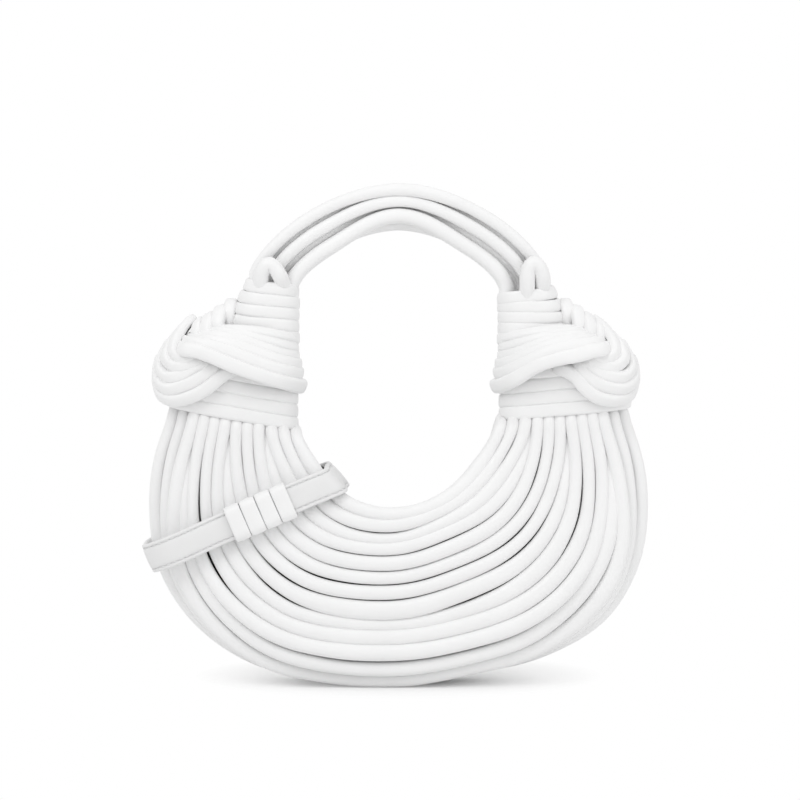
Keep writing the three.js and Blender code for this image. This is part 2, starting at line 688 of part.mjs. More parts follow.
function makeStrap() {
  const group = new THREE.Group();
  group.add(piece("strap", strapBand(), strapLeather), piece("strap_keeper", keeper(), wrapLeather));
  group.position.set(STRAP_INSET - BODY_WIDTH / 2, 0, STRAP_CENTRE_HEIGHT);
  group.rotation.y = -radians(STRAP_SLOPE);
  return group;
}

// Lining: a sewn pouch that follows the inside of the cords, open at the mouth, with a magnetic snap.

// How deep the pouch may be at a station, where its floor lies and where its mouth is.
function liningRoom(station) {
  const chain = chainAt(station);
  const wall = chain.slice(BOTTOM_LINKS + 1);
  const bottom = chain.slice(0, BOTTOM_LINKS + 1);
  return {
    halfDepth: Math.min(...wall.map((joint) => joint.depth)) - cordRadius - FIT_GAP,
    floor: Math.max(...bottom.map((joint) => joint.inward)) + cordRadius + FIT_GAP,
    mouth: chain.at(-1).inward - LINING_BELOW_MOUTH,
  };
}

function liningRing(side, station, inset, rise) {
  const { halfDepth, floor, mouth } = liningRoom(station);
  const deep = halfDepth - inset;
  const low = floor + inset;
  const chamfer = Math.min(LINING_CHAMFER, deep / 2);
  const profile = [
    [mouth + rise, -deep],
    [low + chamfer, -deep],
    [low, -deep + chamfer],
    [low, deep - chamfer],
    [low + chamfer, deep],
    [mouth + rise, deep],
  ];
  return profile.map(([inward, y]) => sectionPoint(side, station, inward, y));
}

function liningSolid(start, inset, rise) {
  const stations = numbered(LINING_STEPS + 1, (i) => mix(start, 1, i / LINING_STEPS));
  const left = stations.map((station) => liningRing(-1, station, inset, rise));
  const right = stations.slice(0, -1).map((station) => liningRing(1, station, inset, rise));
  return solidOf(loft([...left, ...right.reverse()]));
}

function lining() {
  const endThickness = LINING_THICKNESS / ((outlineHalfWidth * Math.PI) / 2);
  const outside = liningSolid(LINING_START, 0, 0);
  const inside = liningSolid(LINING_START + endThickness, LINING_THICKNESS, CORD_DIAMETER);
  return geometryOf(outside.subtract(inside));
}

// One half of the snap, turned about Y, with its back against the lining.
function snapHalf(face, nubHeight) {
  const { halfDepth, mouth } = liningRoom(1);
  const radius = SNAP_DIAMETER / 2;
  const nub = SNAP_NUB_DIAMETER / 2;
  const profile = [
    [0, 0],
    [radius, 0],
    [radius, SNAP_THICKNESS],
    [nub, SNAP_THICKNESS],
    [nub, SNAP_THICKNESS + nubHeight],
    [0, SNAP_THICKNESS + nubHeight],
  ].map(([r, h]) => new THREE.Vector2(r, h));
  const disc = new THREE.LatheGeometry(profile, SNAP_SIDES);
  const back = halfDepth - LINING_THICKNESS - FIT_GAP;
  return disc
    .rotateX(face > 0 ? Math.PI : 0)
    .translate(0, face * back, sectionPoint(1, 1, mouth, 0).z - SNAP_BELOW_MOUTH);
}

function makeLining() {
  const group = new THREE.Group();
  group.add(
    piece("lining", lining(), liningCloth),
    piece("snap_socket", snapHalf(-1, -SNAP_NUB_HEIGHT), snapMetal),
    piece("snap_stud", snapHalf(1, SNAP_NUB_HEIGHT), snapMetal),
  );
  return group;
}

const bag = new THREE.Group();
bag.add(
  makeBody(),
  makeKnot(-1, "left", LEFT_BIGHT_SHIFT),
  makeKnot(1, "right", RIGHT_BIGHT_SHIFT),
  makeHandle(),
  makeStrap(),
  makeLining(),
);

export default bag;
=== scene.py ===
# %% [markdown]
# # A knotted bag of white leather cords
#
# The bag is a half-moon of soft tubular cords. Each cord is a strip of thin coated leather, sewn
# round a filler. The cords hang side by side between two knots, six more arch over as the handle, and
# a stitched strap with a wound keeper closes round the left arm.
#
# The CAD model is loaded first. It is the fixed frame: it gives the places and the joints, and every
# piece made here rides on one of its bodies, except the handle cords, which are not attached to any.

import json
import math

import bpy
import numpy as np
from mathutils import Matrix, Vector

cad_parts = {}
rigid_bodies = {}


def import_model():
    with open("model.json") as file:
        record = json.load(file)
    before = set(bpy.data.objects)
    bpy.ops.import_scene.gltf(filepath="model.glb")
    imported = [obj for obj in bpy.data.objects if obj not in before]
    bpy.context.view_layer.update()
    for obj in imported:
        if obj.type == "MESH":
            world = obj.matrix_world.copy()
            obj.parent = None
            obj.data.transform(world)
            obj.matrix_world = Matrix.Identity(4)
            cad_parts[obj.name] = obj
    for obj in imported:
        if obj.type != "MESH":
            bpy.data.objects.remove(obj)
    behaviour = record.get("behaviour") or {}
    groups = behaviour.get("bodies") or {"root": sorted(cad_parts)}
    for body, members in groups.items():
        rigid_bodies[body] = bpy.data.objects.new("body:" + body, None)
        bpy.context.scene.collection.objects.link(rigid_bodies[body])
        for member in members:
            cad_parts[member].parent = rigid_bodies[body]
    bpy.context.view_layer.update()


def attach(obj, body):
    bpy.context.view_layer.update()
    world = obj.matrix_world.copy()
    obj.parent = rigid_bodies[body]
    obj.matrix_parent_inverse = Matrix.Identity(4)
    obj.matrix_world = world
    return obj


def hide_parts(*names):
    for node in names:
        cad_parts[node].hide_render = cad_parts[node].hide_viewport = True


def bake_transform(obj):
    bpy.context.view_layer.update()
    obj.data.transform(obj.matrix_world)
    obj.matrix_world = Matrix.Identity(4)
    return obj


for leftover in list(bpy.data.objects):
    bpy.data.objects.remove(leftover)
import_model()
MM = 0.001

# %% [markdown]
# ## Leather, thread, cloth and metal
#
# The leather is sheep or polyurethane leather with a smooth white topcoat. The coat gives the eye a
# soft, wide highlight. Under it there is a fine pebble grain, and the stuffing leaves slow, shallow
# dents. A texture picture could hold that, but nodes keep their scale in millimetres on every cord,
# whatever its length, so the grain is built from nodes.

# %% Helpers for colours and nodes
def to_linear(hex_colour):
    """A written sRGB colour, such as "F4F4F4", as the linear values that shaders use."""
    parts = [int(hex_colour[i:i + 2], 16) / 255 for i in (0, 2, 4)]
    linear = [p / 12.92 if p <= 0.04045 else ((p + 0.055) / 1.055) ** 2.4 for p in parts]
    return (*linear, 1.0)


def set_up(tree, node, settings, links):
    """Sets a node's properties and sockets, and links its inputs."""
    for name, value in settings.items():
        if isinstance(name, int) or name in node.inputs:
            node.inputs[name].default_value = value
        else:
            setattr(node, name, value)
    for name, source in links.items():
        tree.links.new(source, node.inputs[name])
    return node


def add_node(tree, kind, settings, links):
    """Adds one shader node with its settings and links."""
    return set_up(tree, tree.nodes.new("ShaderNode" + kind), settings, links)


def new_finish(name):
    """A new material with its node tree, the place on the piece in metres, and the surface shader."""
    finish = bpy.data.materials.new(name)
    finish.use_nodes = True
    tree = finish.node_tree
    place = add_node(tree, "TexCoord", {}, {}).outputs["Object"]
    return finish, tree, place, tree.nodes["Principled BSDF"]


def per_metre(millimetres):
    """How often a pattern of that size repeats in a metre, which is what texture nodes ask for."""
    return 1000 / millimetres


print("a middle grey in linear values:", round(to_linear("808080")[0], 3))

# %% The white leather of cords, windings and strap
MIX_FACTOR, MIX_A, MIX_B, MIX_RESULT = 0, 6, 7, 2


def white_leather(name, bright, dull, roughness, grain_depth, dent_depth):
    """Smooth coated leather: bright topcoat, faint cloudy tone, pebble grain and shallow dents."""
    finish, tree, place, coat = new_finish(name)
    # The tone drifts over about 30 mm, as a hand-wiped topcoat does.
    cloud = add_node(tree, "TexNoise", {"Scale": per_metre(30), "Detail": 3.0}, {"Vector": place})
    tone = add_node(
        tree, "Mix", {"data_type": "RGBA", MIX_A: to_linear(dull), MIX_B: to_linear(bright)},
        {MIX_FACTOR: cloud.outputs["Fac"]})
    # Real pebbles are about 0.4 mm. They are drawn at 0.9 mm, so that they still show in the render.
    pebbles = add_node(tree, "TexVoronoi", {"feature": "SMOOTH_F1", "Scale": per_metre(0.9)},
                       {"Vector": place})
    grain = add_node(tree, "Bump", {"Strength": 0.5, "Distance": grain_depth * MM},
                     {"Height": pebbles.outputs["Distance"]})
    stuffing = add_node(tree, "TexNoise", {"Scale": per_metre(9), "Detail": 2.0, "Roughness": 0.4},
                        {"Vector": place})
    dents = add_node(tree, "Bump", {"Strength": 0.6, "Distance": dent_depth * MM},
                     {"Height": stuffing.outputs["Fac"], "Normal": grain.outputs["Normal"]})
    # Handling polishes the coat in patches, so the roughness moves a little either way.
    polish = add_node(tree, "MapRange", {"To Min": roughness - 0.05, "To Max": roughness + 0.06},
                      {"Value": stuffing.outputs["Fac"]})
    set_up(tree, coat, {"IOR": 1.48},
           {"Base Color": tone.outputs[MIX_RESULT], "Roughness": polish.outputs["Result"],
            "Normal": dents.outputs["Normal"]})
    return finish


cord_leather = white_leather("coated_white_leather", "F4F4F4", "EDEDED", 0.46, 0.05, 0.5)
wrap_leather = white_leather("wound_white_leather", "F4F4F4", "ECECEC", 0.44, 0.05, 0.4)
strap_leather = white_leather("split_white_leather", "EAEAEA", "E1E1E1", 0.5, 0.07, 0.2)
print("leathers:", cord_leather.name, wrap_leather.name, strap_leather.name)

# %% Thread, lining cloth and snap metal
def spun_thread():
    """Bonded polyester thread: dull white, with the twist of its three plies and painted shade in the
    grooves between them.
    """
    finish, tree, place, fibre = new_finish("white_polyester_thread")
    plies = add_node(tree, "TexWave", {"Scale": per_metre(0.8), "bands_direction": "DIAGONAL"},
                     {"Vector": place})
    twist = add_node(tree, "Bump", {"Strength": 0.6, "Distance": 0.08 * MM},
                     {"Height": plies.outputs["Fac"]})
    # Where the wave is low, in the grooves between the plies, the thread is painted darker: that is painted
    # shade.
    shade = add_node(
        tree, "Mix", {"data_type": "RGBA", MIX_A: to_linear("D8D8D8"), MIX_B: to_linear("EEEEEE")},
        {MIX_FACTOR: plies.outputs["Fac"]})
    set_up(tree, fibre, {"Roughness": 0.7, "Sheen Weight": 0.15},
           {"Base Color": shade.outputs[MIX_RESULT], "Normal": twist.outputs["Normal"]})
    return finish


def twill_cloth():
    """Charcoal cotton twill: matt, with slanting ribs and a soft nap at its edge. Its charcoal is painted
    shade for the gaps between the cords.
    """
    finish, tree, place, cotton = new_finish("charcoal_twill_painted_shade")
    # Twill ribs are about 0.6 mm apart. They are drawn at 1.4 mm, so that they still show.
    ribs = add_node(
        tree, "TexWave", {"Scale": per_metre(1.4) / math.tau, "bands_direction": "DIAGONAL",
                          "Distortion": 0.6, "Detail": 1.0}, {"Vector": place})
    weave = add_node(tree, "Bump", {"Strength": 0.7, "Distance": 0.15 * MM},
                     {"Height": ribs.outputs["Fac"]})
    slubs = add_node(tree, "TexNoise", {"Scale": per_metre(2.5), "Detail": 4.0}, {"Vector": place})
    # The charcoal colour is painted shade: it darkens the gaps between the cords. The slubs vary it at
    # random.
    shade = add_node(
        tree, "Mix", {"data_type": "RGBA", MIX_A: to_linear("343332"), MIX_B: to_linear("484644")},
        {MIX_FACTOR: slubs.outputs["Fac"]})
    set_up(tree, cotton, {"Roughness": 0.92, "Sheen Weight": 0.25},
           {"Base Color": shade.outputs[MIX_RESULT], "Normal": weave.outputs["Normal"]})
    return finish


def nickel_plate():
    """Bright nickel on pressed steel: nearly a mirror, dulled by fine rub marks."""
    finish, tree, place, plate = new_finish("nickel_plated_steel")
    rubs = add_node(tree, "TexNoise", {"Scale": per_metre(1.2), "Detail": 3.0}, {"Vector": place})
    gloss = add_node(tree, "MapRange", {"To Min": 0.18, "To Max": 0.36}, {"Value": rubs.outputs["Fac"]})
    shade = add_node(
        tree, "Mix", {"data_type": "RGBA", MIX_A: to_linear("BDBBB6"), MIX_B: to_linear("D8D6D1")},
        {MIX_FACTOR: rubs.outputs["Fac"]})
    set_up(tree, plate, {"Metallic": 1.0},
           {"Base Color": shade.outputs[MIX_RESULT], "Roughness": gloss.outputs["Result"]})
    return finish


stitch_thread = spun_thread()
# The lining's charcoal is painted shade for the gaps between the cords.
lining_twill_painted_shade = twill_cloth()
snap_nickel = nickel_plate()
print("other finishes:", stitch_thread.name, lining_twill_painted_shade.name, snap_nickel.name)

# %% [markdown]
# ## A tube of leather
#
# Nearly everything here is a stuffed tube: a path, a width, a thickness and the way its flat side
# faces. A Blender curve with a bevel gives a round tube quickly, but not one that flattens, swells and
# dents where a neighbour presses it. So the tube is a mesh, ring by ring, with rounded ends.

# %% Paths
CURVE_STEPS = 24


def smooth(t):
    """An even step from 0 to 1 with soft ends."""
    t = np.clip(t, 0, 1)
    return t * t * (3 - 2 * t)


def mix(a, b, t):
    """The way from a to b, by the share t."""
    return a + (b - a) * t


def unit(arrows):
    """The same directions, each with length 1."""
    return arrows / np.linalg.norm(arrows, axis=1, keepdims=True)


def squared(angle, power):
    """Cosine and sine of an angle. A power under 1 draws the circle towards a square."""
    return [np.sign(wave) * np.abs(wave) ** power for wave in (np.cos(angle), np.sin(angle))]


def evenly(path, step):
    """The same path with points at an even distance. More columns than three are carried along."""
    path = np.asarray(path, float)
    steps = np.linalg.norm(np.diff(path[:, :3], axis=0), axis=1)
    length = np.concatenate([[0], np.cumsum(steps)])
    at = np.linspace(0, length[-1], max(4, int(round(length[-1] / step)) + 1))
    return np.column_stack([np.interp(at, length, column) for column in path.T])


def flowing(points, step):
    """A smooth path through a few given points, in mm."""
    knots = np.asarray(points, float)
    padded = np.vstack([2 * knots[0] - knots[1], knots, 2 * knots[-1] - knots[-2]])
    t = np.linspace(0, 1, CURVE_STEPS, endpoint=False)[:, None]
    stretches = []
    for before, start, end, after in zip(padded, padded[1:], padded[2:], padded[3:]):
        leave, arrive = (end - before) / 2, (after - start) / 2
        stretches.append(
            (2 * t**3 - 3 * t**2 + 1) * start + (t**3 - 2 * t**2 + t) * leave
            + (3 * t**2 - 2 * t**3) * end + (t**3 - t**2) * arrive)
    return evenly(np.vstack(stretches + [knots[-1:]]), step)


print("points on a bend of three places:", len(flowing([(0, 0, 0), (5, 0, 5), (10, 0, 0)], 1.0)))

# %% Tubes and pieces
# How far each ring of a rounded end lies past the tube, and how wide it still is.
END_ROUNDS = ((0.5, 0.87), (0.85, 0.53), (0.98, 0.2))
ROUND_SIDES = 16
LUMP_SHARES = (1.0, 0.6, 0.35)


def lumps(count, step, rng, size, wave):
    """Slow seeded swelling along a tube, as uneven stuffing gives it."""
    at = np.arange(count) * step
    total = np.zeros(count)
    for share in LUMP_SHARES:
        total += share * np.sin(at * math.tau / (wave * share) + rng.uniform(0, math.tau))
    return size * total / sum(LUMP_SHARES)


def ring_faces(rings, sides, closed=False):
    """Faces between rings of points. The two ends get a cap, unless the last ring joins the first."""
    faces = [] if closed else [tuple(range(sides))[::-1]]
    for ring in range(rings if closed else rings - 1):
        a, b = ring * sides, (ring + 1) % rings * sides
        faces += [(a + j, a + (j + 1) % sides, b + (j + 1) % sides, b + j) for j in range(sides)]
    return faces if closed else faces + [tuple(range((rings - 1) * sides, rings * sides))]


def tube(path, facing, wide, thick, sides=ROUND_SIDES, squareness=1.0):
    """Points and faces of a closed tube. facing is the way its thickness points at each point;
    wide and thick are half sizes in mm. A squareness under 1 makes the section boxier."""
    path = np.asarray(path, float)
    count = len(path)
    along = unit(np.gradient(path, axis=0))
    out = np.broadcast_to(np.asarray(facing, float), path.shape)
    out = unit(out - along * np.sum(out * along, axis=1, keepdims=True))
    wide, thick = (np.broadcast_to(np.asarray(half, float), count) for half in (wide, thick))
    first = [(path[0] - along[0] * thick[0] * reach, 0, scale) for reach, scale in END_ROUNDS[::-1]]
    last = [(path[-1] + along[-1] * thick[-1] * reach, -1, scale) for reach, scale in END_ROUNDS]
    lift, spread = squared(np.arange(sides) * math.tau / sides, squareness)
    rings = []
    for centre, i, scale in first + [(path[i], i, 1.0) for i in range(count)] + last:
        across = np.cross(along[i], out[i])
        rings.append(centre + scale * (np.outer(lift * thick[i], out[i])
                                       + np.outer(spread * wide[i], across)))
    return np.vstack(rings), ring_faces(len(rings), sides)


def joined(parts):
    """Several tubes as one set of points and faces."""
    points, faces, start = [], [], 0
    for part_points, part_faces in parts:
        points.append(part_points)
        faces += [tuple(v + start for v in face) for face in part_faces]
        start += len(part_points)
    return np.vstack(points), faces


def new_piece(name, shape, finish):
    """A mesh object in metres from points in mm, smooth shaded, with its finish."""
    points, faces = shape
    mesh = bpy.data.meshes.new(name)
    mesh.from_pydata((points * MM).tolist(), [], faces)
    mesh.validate()
    mesh.polygons.foreach_set("use_smooth", [True] * len(mesh.polygons))
    mesh.materials.append(finish)
    piece = bpy.data.objects.new(name, mesh)
    bpy.context.scene.collection.objects.link(piece)
    return piece


def hang_on(piece, body, slot, *nodes):
    """The piece rides on a body and hides the CAD nodes that it stands for. The slot is not used."""
    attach(piece, body)
    if nodes:
        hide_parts(*nodes)


print("faces of a tube with ten rings:", len(ring_faces(10, ROUND_SIDES)))

# %% [markdown]
# ## Body cords
#
# Fourteen cords on each face and one keel cord run from knot to knot. On the real bag they are sewn to
# the lining and to each other, so neighbours keep their distance and the wall steps in and out.
# Posing each cord by hand would take long and let them drift apart. Instead every cord starts from the
# CAD's own rule: a section turns from one knot to the other, and in it the cords are the joints of a
# chain. Then soft things are added: the cords settle as they hang in the photograph, swell until they
# touch, flatten on the floor and are squeezed where the winding takes them.

# %% The chain of cords
PITCH = 7.85
KEEL_HEIGHT, MOUTH_HEIGHT, FLOOR_PRESS = 2.88, 84.5, 3.0
WIDEST_HEIGHT, GATHER_HEIGHT, GATHER_WIDTH = 90.0, 133.0, 60.0
OUTLINE_HALF_WIDTH, OUTLINE_POWER = 121.4, 2 / 2.3
OUTLINE_HALF_HEIGHT = WIDEST_HEIGHT - KEEL_HEIGHT + FLOOR_PRESS
MOUTH_REACH = MOUTH_HEIGHT - KEEL_HEIGHT + FLOOR_PRESS
FLAT_FADE, FULL_STATION = 12.0, 0.97
ARM_ZIGZAG, ARM_STATION, WALL_LEAN, KEEL_LINK_ANGLE = 5.0, 0.55, -3.0, 30.0
BOTTOM_ANGLES = (90.0, 90.0, 60.0, 30.0)
LINKS = 14
WALL_LINKS = LINKS - len(BOTTOM_ANGLES)


def cos_deg(angle):
    return math.cos(math.radians(angle))


gather_zigzag = math.degrees(math.acos((GATHER_WIDTH / PITCH - cos_deg(KEEL_LINK_ANGLE)) / (LINKS - 1)))
middle_rise = MOUTH_REACH / PITCH - sum(cos_deg(a) for a in BOTTOM_ANGLES)
middle_zigzag = math.degrees(math.acos(middle_rise / (WALL_LINKS * cos_deg(WALL_LEAN))))


def outline_at(station):
    """The keel's outline from a knot (station 0) to the middle of the bottom (station 1), as it would be
    without the floor."""
    start = -math.asin(((GATHER_HEIGHT - WIDEST_HEIGHT) / OUTLINE_HALF_HEIGHT) ** (1 / OUTLINE_POWER))
    wide, drop = squared(mix(start, math.pi / 2, station), OUTLINE_POWER)
    return OUTLINE_HALF_WIDTH * wide, WIDEST_HEIGHT - OUTLINE_HALF_HEIGHT * drop


def ray_to(station):
    """Length and turn of the ray from between the knots to the outline. It turns from straight down."""
    x, z = outline_at(station)
    return np.hypot(x, GATHER_HEIGHT - z), np.degrees(np.arctan2(x, GATHER_HEIGHT - z))


def link_angle(link, station):
    """The slant of one link of the chain, in degrees."""
    sign = -1 if link % 2 else 1
    form = smooth(station / FULL_STATION)
    if link > len(BOTTOM_ANGLES):
        towards_arm = mix(gather_zigzag, ARM_ZIGZAG, smooth(station / ARM_STATION))
        past_arm = mix(ARM_ZIGZAG, middle_zigzag, smooth((station - ARM_STATION) / (1 - ARM_STATION)))
        zigzag = np.where(station < ARM_STATION, towards_arm, past_arm)
        return WALL_LEAN * form + sign * zigzag
    at_knot = KEEL_LINK_ANGLE if link == 1 else sign * gather_zigzag
    return mix(at_knot, BOTTOM_ANGLES[link - 1], form)


def chain_at(station):
    """How far in and how deep each cord lies in the section at these stations."""
    inward = [np.zeros_like(station)]
    depth = [np.zeros_like(station)]
    for link in range(1, LINKS + 1):
        slant = np.radians(link_angle(link, station))
        inward.append(inward[-1] + PITCH * np.cos(slant))
        depth.append(depth[-1] + PITCH * np.sin(slant))
    return np.array(inward), np.array(depth)


def section_point(side, station, inward, depth):
    """A point of the section: from the outline towards the middle of the line between the knots. The floor
    presses the round bottom up, and the cords above it ride up too, but less towards the mouth."""
    x, z = outline_at(station)
    reach, _ = ray_to(station)
    lift = FLOOR_PRESS * smooth(1 - z / FLAT_FADE) * (1 - inward / MOUTH_REACH)
    return np.column_stack([
        side * (x - inward * x / reach), depth * np.ones_like(x),
        z + inward * (GATHER_HEIGHT - z) / reach + lift])


print("zigzag at the knots and in the middle:", round(gather_zigzag, 1), round(middle_zigzag, 1))

# %% How soft cords settle
STATIONS = np.linspace(0, 1, 49)
# The front cords at the middle of the bag, from the lowest wall cord up: height, half of what
# shows of it, and depth. Most stand level, one bulges and the one below it hides.
ROWS = ((3.6, 3.9, 16.2), (9.5, 3.8, 22.3), (18.2, 4.2, 25.9), (25.5, 4.15, 24.6), (31.6, 3.5, 23.0),
        (38.9, 4.85, 25.0), (47.6, 3.6, 24.0), (55.2, 3.3, 23.4), (61.9, 3.75, 23.4), (69.2, 3.5, 22.8),
        (73.8, 3.0, 22.0), (80.6, 3.6, 22.4), (85.9, 3.4, 21.6))
FIRST_ROW, ROW_STATION = LINKS - len(ROWS) + 1, 0.4
SWOLLEN_RADIUS, PACKED_HALF_WIDTH, CORD_SQUARENESS = 3.95, 2.6, 0.86
PACKED_UNTIL, LOOSE_FROM, ARM_RECESS = 0.35, 0.9, 0.35
# How far odd and even cords press into their neighbours in the arms.
ODD_PRESS, EVEN_PRESS = 0.15, 0.35
# At the knots some cords slip behind their neighbours, and the others share the width.
SLIPPED = (3, 7, 11)
SLIP_RECESS, GATHER_STATION, GATHER_HALF_WIDTH = 4.0, 0.34, 3.25
GATHER_SLOTS = [sum(k not in SLIPPED for k in range(1, link + 1)) + 0.5 * (link in SLIPPED)
                for link in range(LINKS + 1)]
# The mouth is a round hole about the middle of the line between the knots, wider close to them. The back
# hangs lower there than the front. Cords further down follow it less.
MOUTH_RADIUS, MOUTH_FLARE, FLARE_ANGLE = 44.0, 7.2, 40.0
FIRST_MOUTH_LINK, FOLLOW_POWER, WIDE_STATION, BACK_DROP = 4, 1.5, 0.5, 4.8


def mouth_shift(mouth_inward):
    """How far the mouth cord moves in, so that its upper edge follows the round mouth."""
    reach, turn = ray_to(STATIONS)
    edge = MOUTH_RADIUS + MOUTH_FLARE * np.maximum(0, 1 - (90 - turn) / FLARE_ANGLE) ** 2
    half_width = mix(PACKED_HALF_WIDTH, ROWS[-1][1], smooth(STATIONS / WIDE_STATION))
    return reach - edge - half_width - mouth_inward


def settled(link, face):
    """Place and half width of one cord in the sections: round and full in the middle, but pressed narrow
    and pushed level with its neighbours in the arms."""
    inward, depth = chain_at(STATIONS)
    below, above = max(link - 1, 0), min(link + 1, LINKS)
    packed = 1 - smooth((STATIONS - PACKED_UNTIL) / (LOOSE_FROM - PACKED_UNTIL))
    gather = 1 - smooth(STATIONS / GATHER_STATION)
    middle = (depth[below] + 2 * depth[link] + depth[above]) / 4
    recess = mix(ARM_RECESS * (link % 2), SLIP_RECESS * (link in SLIPPED), gather)
    level = middle + np.abs(depth[link] - middle) - recess
    deep = mix(depth[link], level, packed) if link else depth[link]
    room = (inward[above] - inward[below]) / (above - below)
    narrow = np.clip(room / 2 + (ODD_PRESS if link % 2 else EVEN_PRESS), PACKED_HALF_WIDTH, SWOLLEN_RADIUS)
    narrow = SWOLLEN_RADIUS if link < len(BOTTOM_ANGLES) else narrow
    wide = mix(mix(SWOLLEN_RADIUS, narrow, packed), GATHER_HALF_WIDTH, gather)
    shift = mouth_shift(inward[-1])
    follow = (max(link - FIRST_MOUTH_LINK, 0) / (LINKS - FIRST_MOUTH_LINK)) ** FOLLOW_POWER
    high = inward[link] + follow * shift
    if link >= FIRST_ROW:
        row_height, row_half, row_depth = ROWS[link - FIRST_ROW]
        near_middle = smooth((STATIONS - ROW_STATION) / (1 - ROW_STATION))
        high = high + (row_height - section_point(1, STATIONS, high, deep)[-1, 2]) * near_middle
        deep = mix(deep, row_depth - depth[link][-1] + depth[link], near_middle**2)
        wide = mix(wide, row_half, near_middle)
    high = high - follow * BACK_DROP * (face > 0) * (1 - gather)
    slot = GATHER_SLOTS[link] / GATHER_SLOTS[-1]
    return mix(high, slot * (inward[-1] + shift), gather), deep, wide


print("rows set by eye:", len(ROWS), "of", LINKS)

# %% Sag, gaps and the keeper's track
# The full bag sags to the left. So the cords lie higher right of the middle, most of all half way up.
SAG, SAG_REACH = 4.0, 75.0
# Along the keel that ends sooner than in the wall, which begins at this share of the way up.
RIGHT_RISE, RISE_FADE_START, WALL_SHARE = 7.4, 30.0, 0.4
KEEL_RISE_ANGLES, WALL_RISE_ANGLES = (20.0, 50.0), (30.0, 92.0)
RISE_SHARES = (0.5, 0.55, 0.6, 0.65, 0.7, 0.77, 0.9, 1.1, 1.0, 0.9, 0.85, 0.85, 0.65, 0.45, 0.0)
# In the arms of the front some gaps stand open and others press shut: the cord below the gap, the turn
# of its middle and its reach in degrees, and how far each cord's edge draws back.
GAPS = {-1: ((4, 60, 22, 0.36), (6, 33, 20, 0.21), (7, 40, 16, 0.19), (10, 33, 14, -0.12)),
        1: ((7, 52, 36, 0.36), (8, 50, 22, 0.3), (9, 60, 20, 0.3), (5, 62, 20, 0.36),
            (6, 42, 14, -0.2), (6, 20, 14, 0.22))}
# Along the strap the sliding keeper presses the soft cords back: ends of its track, and the room left.
KEEPER_TRACK = np.array([(-99.6, 74.3), (-36.3, 101.6)])
PRESSED_DEPTH, PRESSED_REACH, PRESSED_EASE = 18.2, 9.0, 1.2


def right_rise(station, up):
    """How far in the sag pushes the right side, at a share of the way up from the keel to the mouth."""
    _, turn = ray_to(station)
    in_wall = smooth(up / WALL_SHARE)
    full, gone = (mix(keel, wall, in_wall) for keel, wall in zip(KEEL_RISE_ANGLES, WALL_RISE_ANGLES))
    fade = 1 - smooth((turn - RISE_FADE_START) / (gone - RISE_FADE_START))
    share = np.interp(up, np.linspace(0, 1, LINKS + 1), RISE_SHARES)
    return RIGHT_RISE * share * smooth(turn / full) * fade


def gap_edges(link, side):
    """How far the gaps beside one front cord move it inwards, and how much narrower they make it."""
    _, turn = ray_to(STATIONS)
    moved, narrower = np.zeros_like(turn), np.zeros_like(turn)
    for below, middle, reach, drawn in GAPS[side]:
        if link in (below, below + 1):
            here = drawn * smooth(1 - np.abs(turn - middle) / reach)
            moved += here if link > below else -here
            narrower += here
    return moved, narrower


def pressed(path):
    """The path, held back where it passes behind the keeper's track."""
    start, run = KEEPER_TRACK[0], KEEPER_TRACK[1] - KEEPER_TRACK[0]
    flat = path[:, [0, 2]] - start
    at = np.clip(flat @ run / (run @ run), 0, 1)
    away = np.linalg.norm(flat - np.outer(at, run), axis=1)
    room = PRESSED_DEPTH + PRESSED_EASE * np.maximum(away - PRESSED_REACH, 0)
    path[:, 1] = np.maximum(path[:, 1], -room)
    return path


print("most that the right side rises:", round(RIGHT_RISE * max(RISE_SHARES), 1), "mm")

# %% Cords held in the base windings
# The base winding goes round the knot's foot as a flat oval. Lower edge of each one in the middle of its
# front, and how steeply that rises outward.
KNOT_CENTRE, BASE_HALF_WIDTH, BASE_HALF_DEPTH, WRAP_ROUNDNESS = 83.3, 31.3, 13.2, 0.85
BASE_EDGES = {-1: (132.9, 0.15), 1: (134.9, 0.055)}
# Where the winding holds a cord, from below its edge to above, and what it takes from the cord.
HELD_FROM, HELD_WHOLLY = -3.0, 4.0
HELD_WIDTH, HELD_DEPTH, HELD_THICKNESS = 0.2, 0.4, 0.25
# How far inside the winding's oval a cord stays, and how far below the edge it begins to draw in.
HELD_ROOM, HELD_REACH = 3.2, 9.0


def held(path, link):
    """The path, drawn in behind the base windings, and how firmly they hold each point of it."""
    edge, rise = np.where(path[:, :1] < 0, BASE_EDGES[-1], BASE_EDGES[1]).T
    outward = np.abs(path[:, 0])
    above_edge = path[:, 2] - edge - (outward - KNOT_CENTRE) * rise
    grip = smooth((above_edge - HELD_FROM) / (HELD_WHOLLY - HELD_FROM))
    outward = mix(outward, KNOT_CENTRE, HELD_WIDTH * smooth(above_edge / HELD_WHOLLY))
    path[:, 0] = np.sign(path[:, 0]) * outward
    path[:, 1] *= 1 - HELD_DEPTH * grip
    if link:
        off_centre = np.clip(np.abs(outward - KNOT_CENTRE) / BASE_HALF_WIDTH, 0, 1)
        oval = BASE_HALF_DEPTH * (1 - off_centre ** (2 / WRAP_ROUNDNESS)) ** (WRAP_ROUNDNESS / 2)
        under = smooth(1 + above_edge / HELD_REACH)
        room = mix(2 * BASE_HALF_DEPTH, np.maximum(oval - HELD_ROOM, 0), under)
        path[:, 1] = np.clip(path[:, 1], -room, room)
    return path, grip


print("base winding about", 2 * BASE_HALF_WIDTH, "by", 2 * BASE_HALF_DEPTH, "mm")

# %% The body cords
TO_FRONT = np.array([0.0, -1.0, 0.0])
# How far each end goes on into its knot.
INTO_KNOT = 14.0
CORD_STEP, RELAXING_PASSES = 2.6, 16
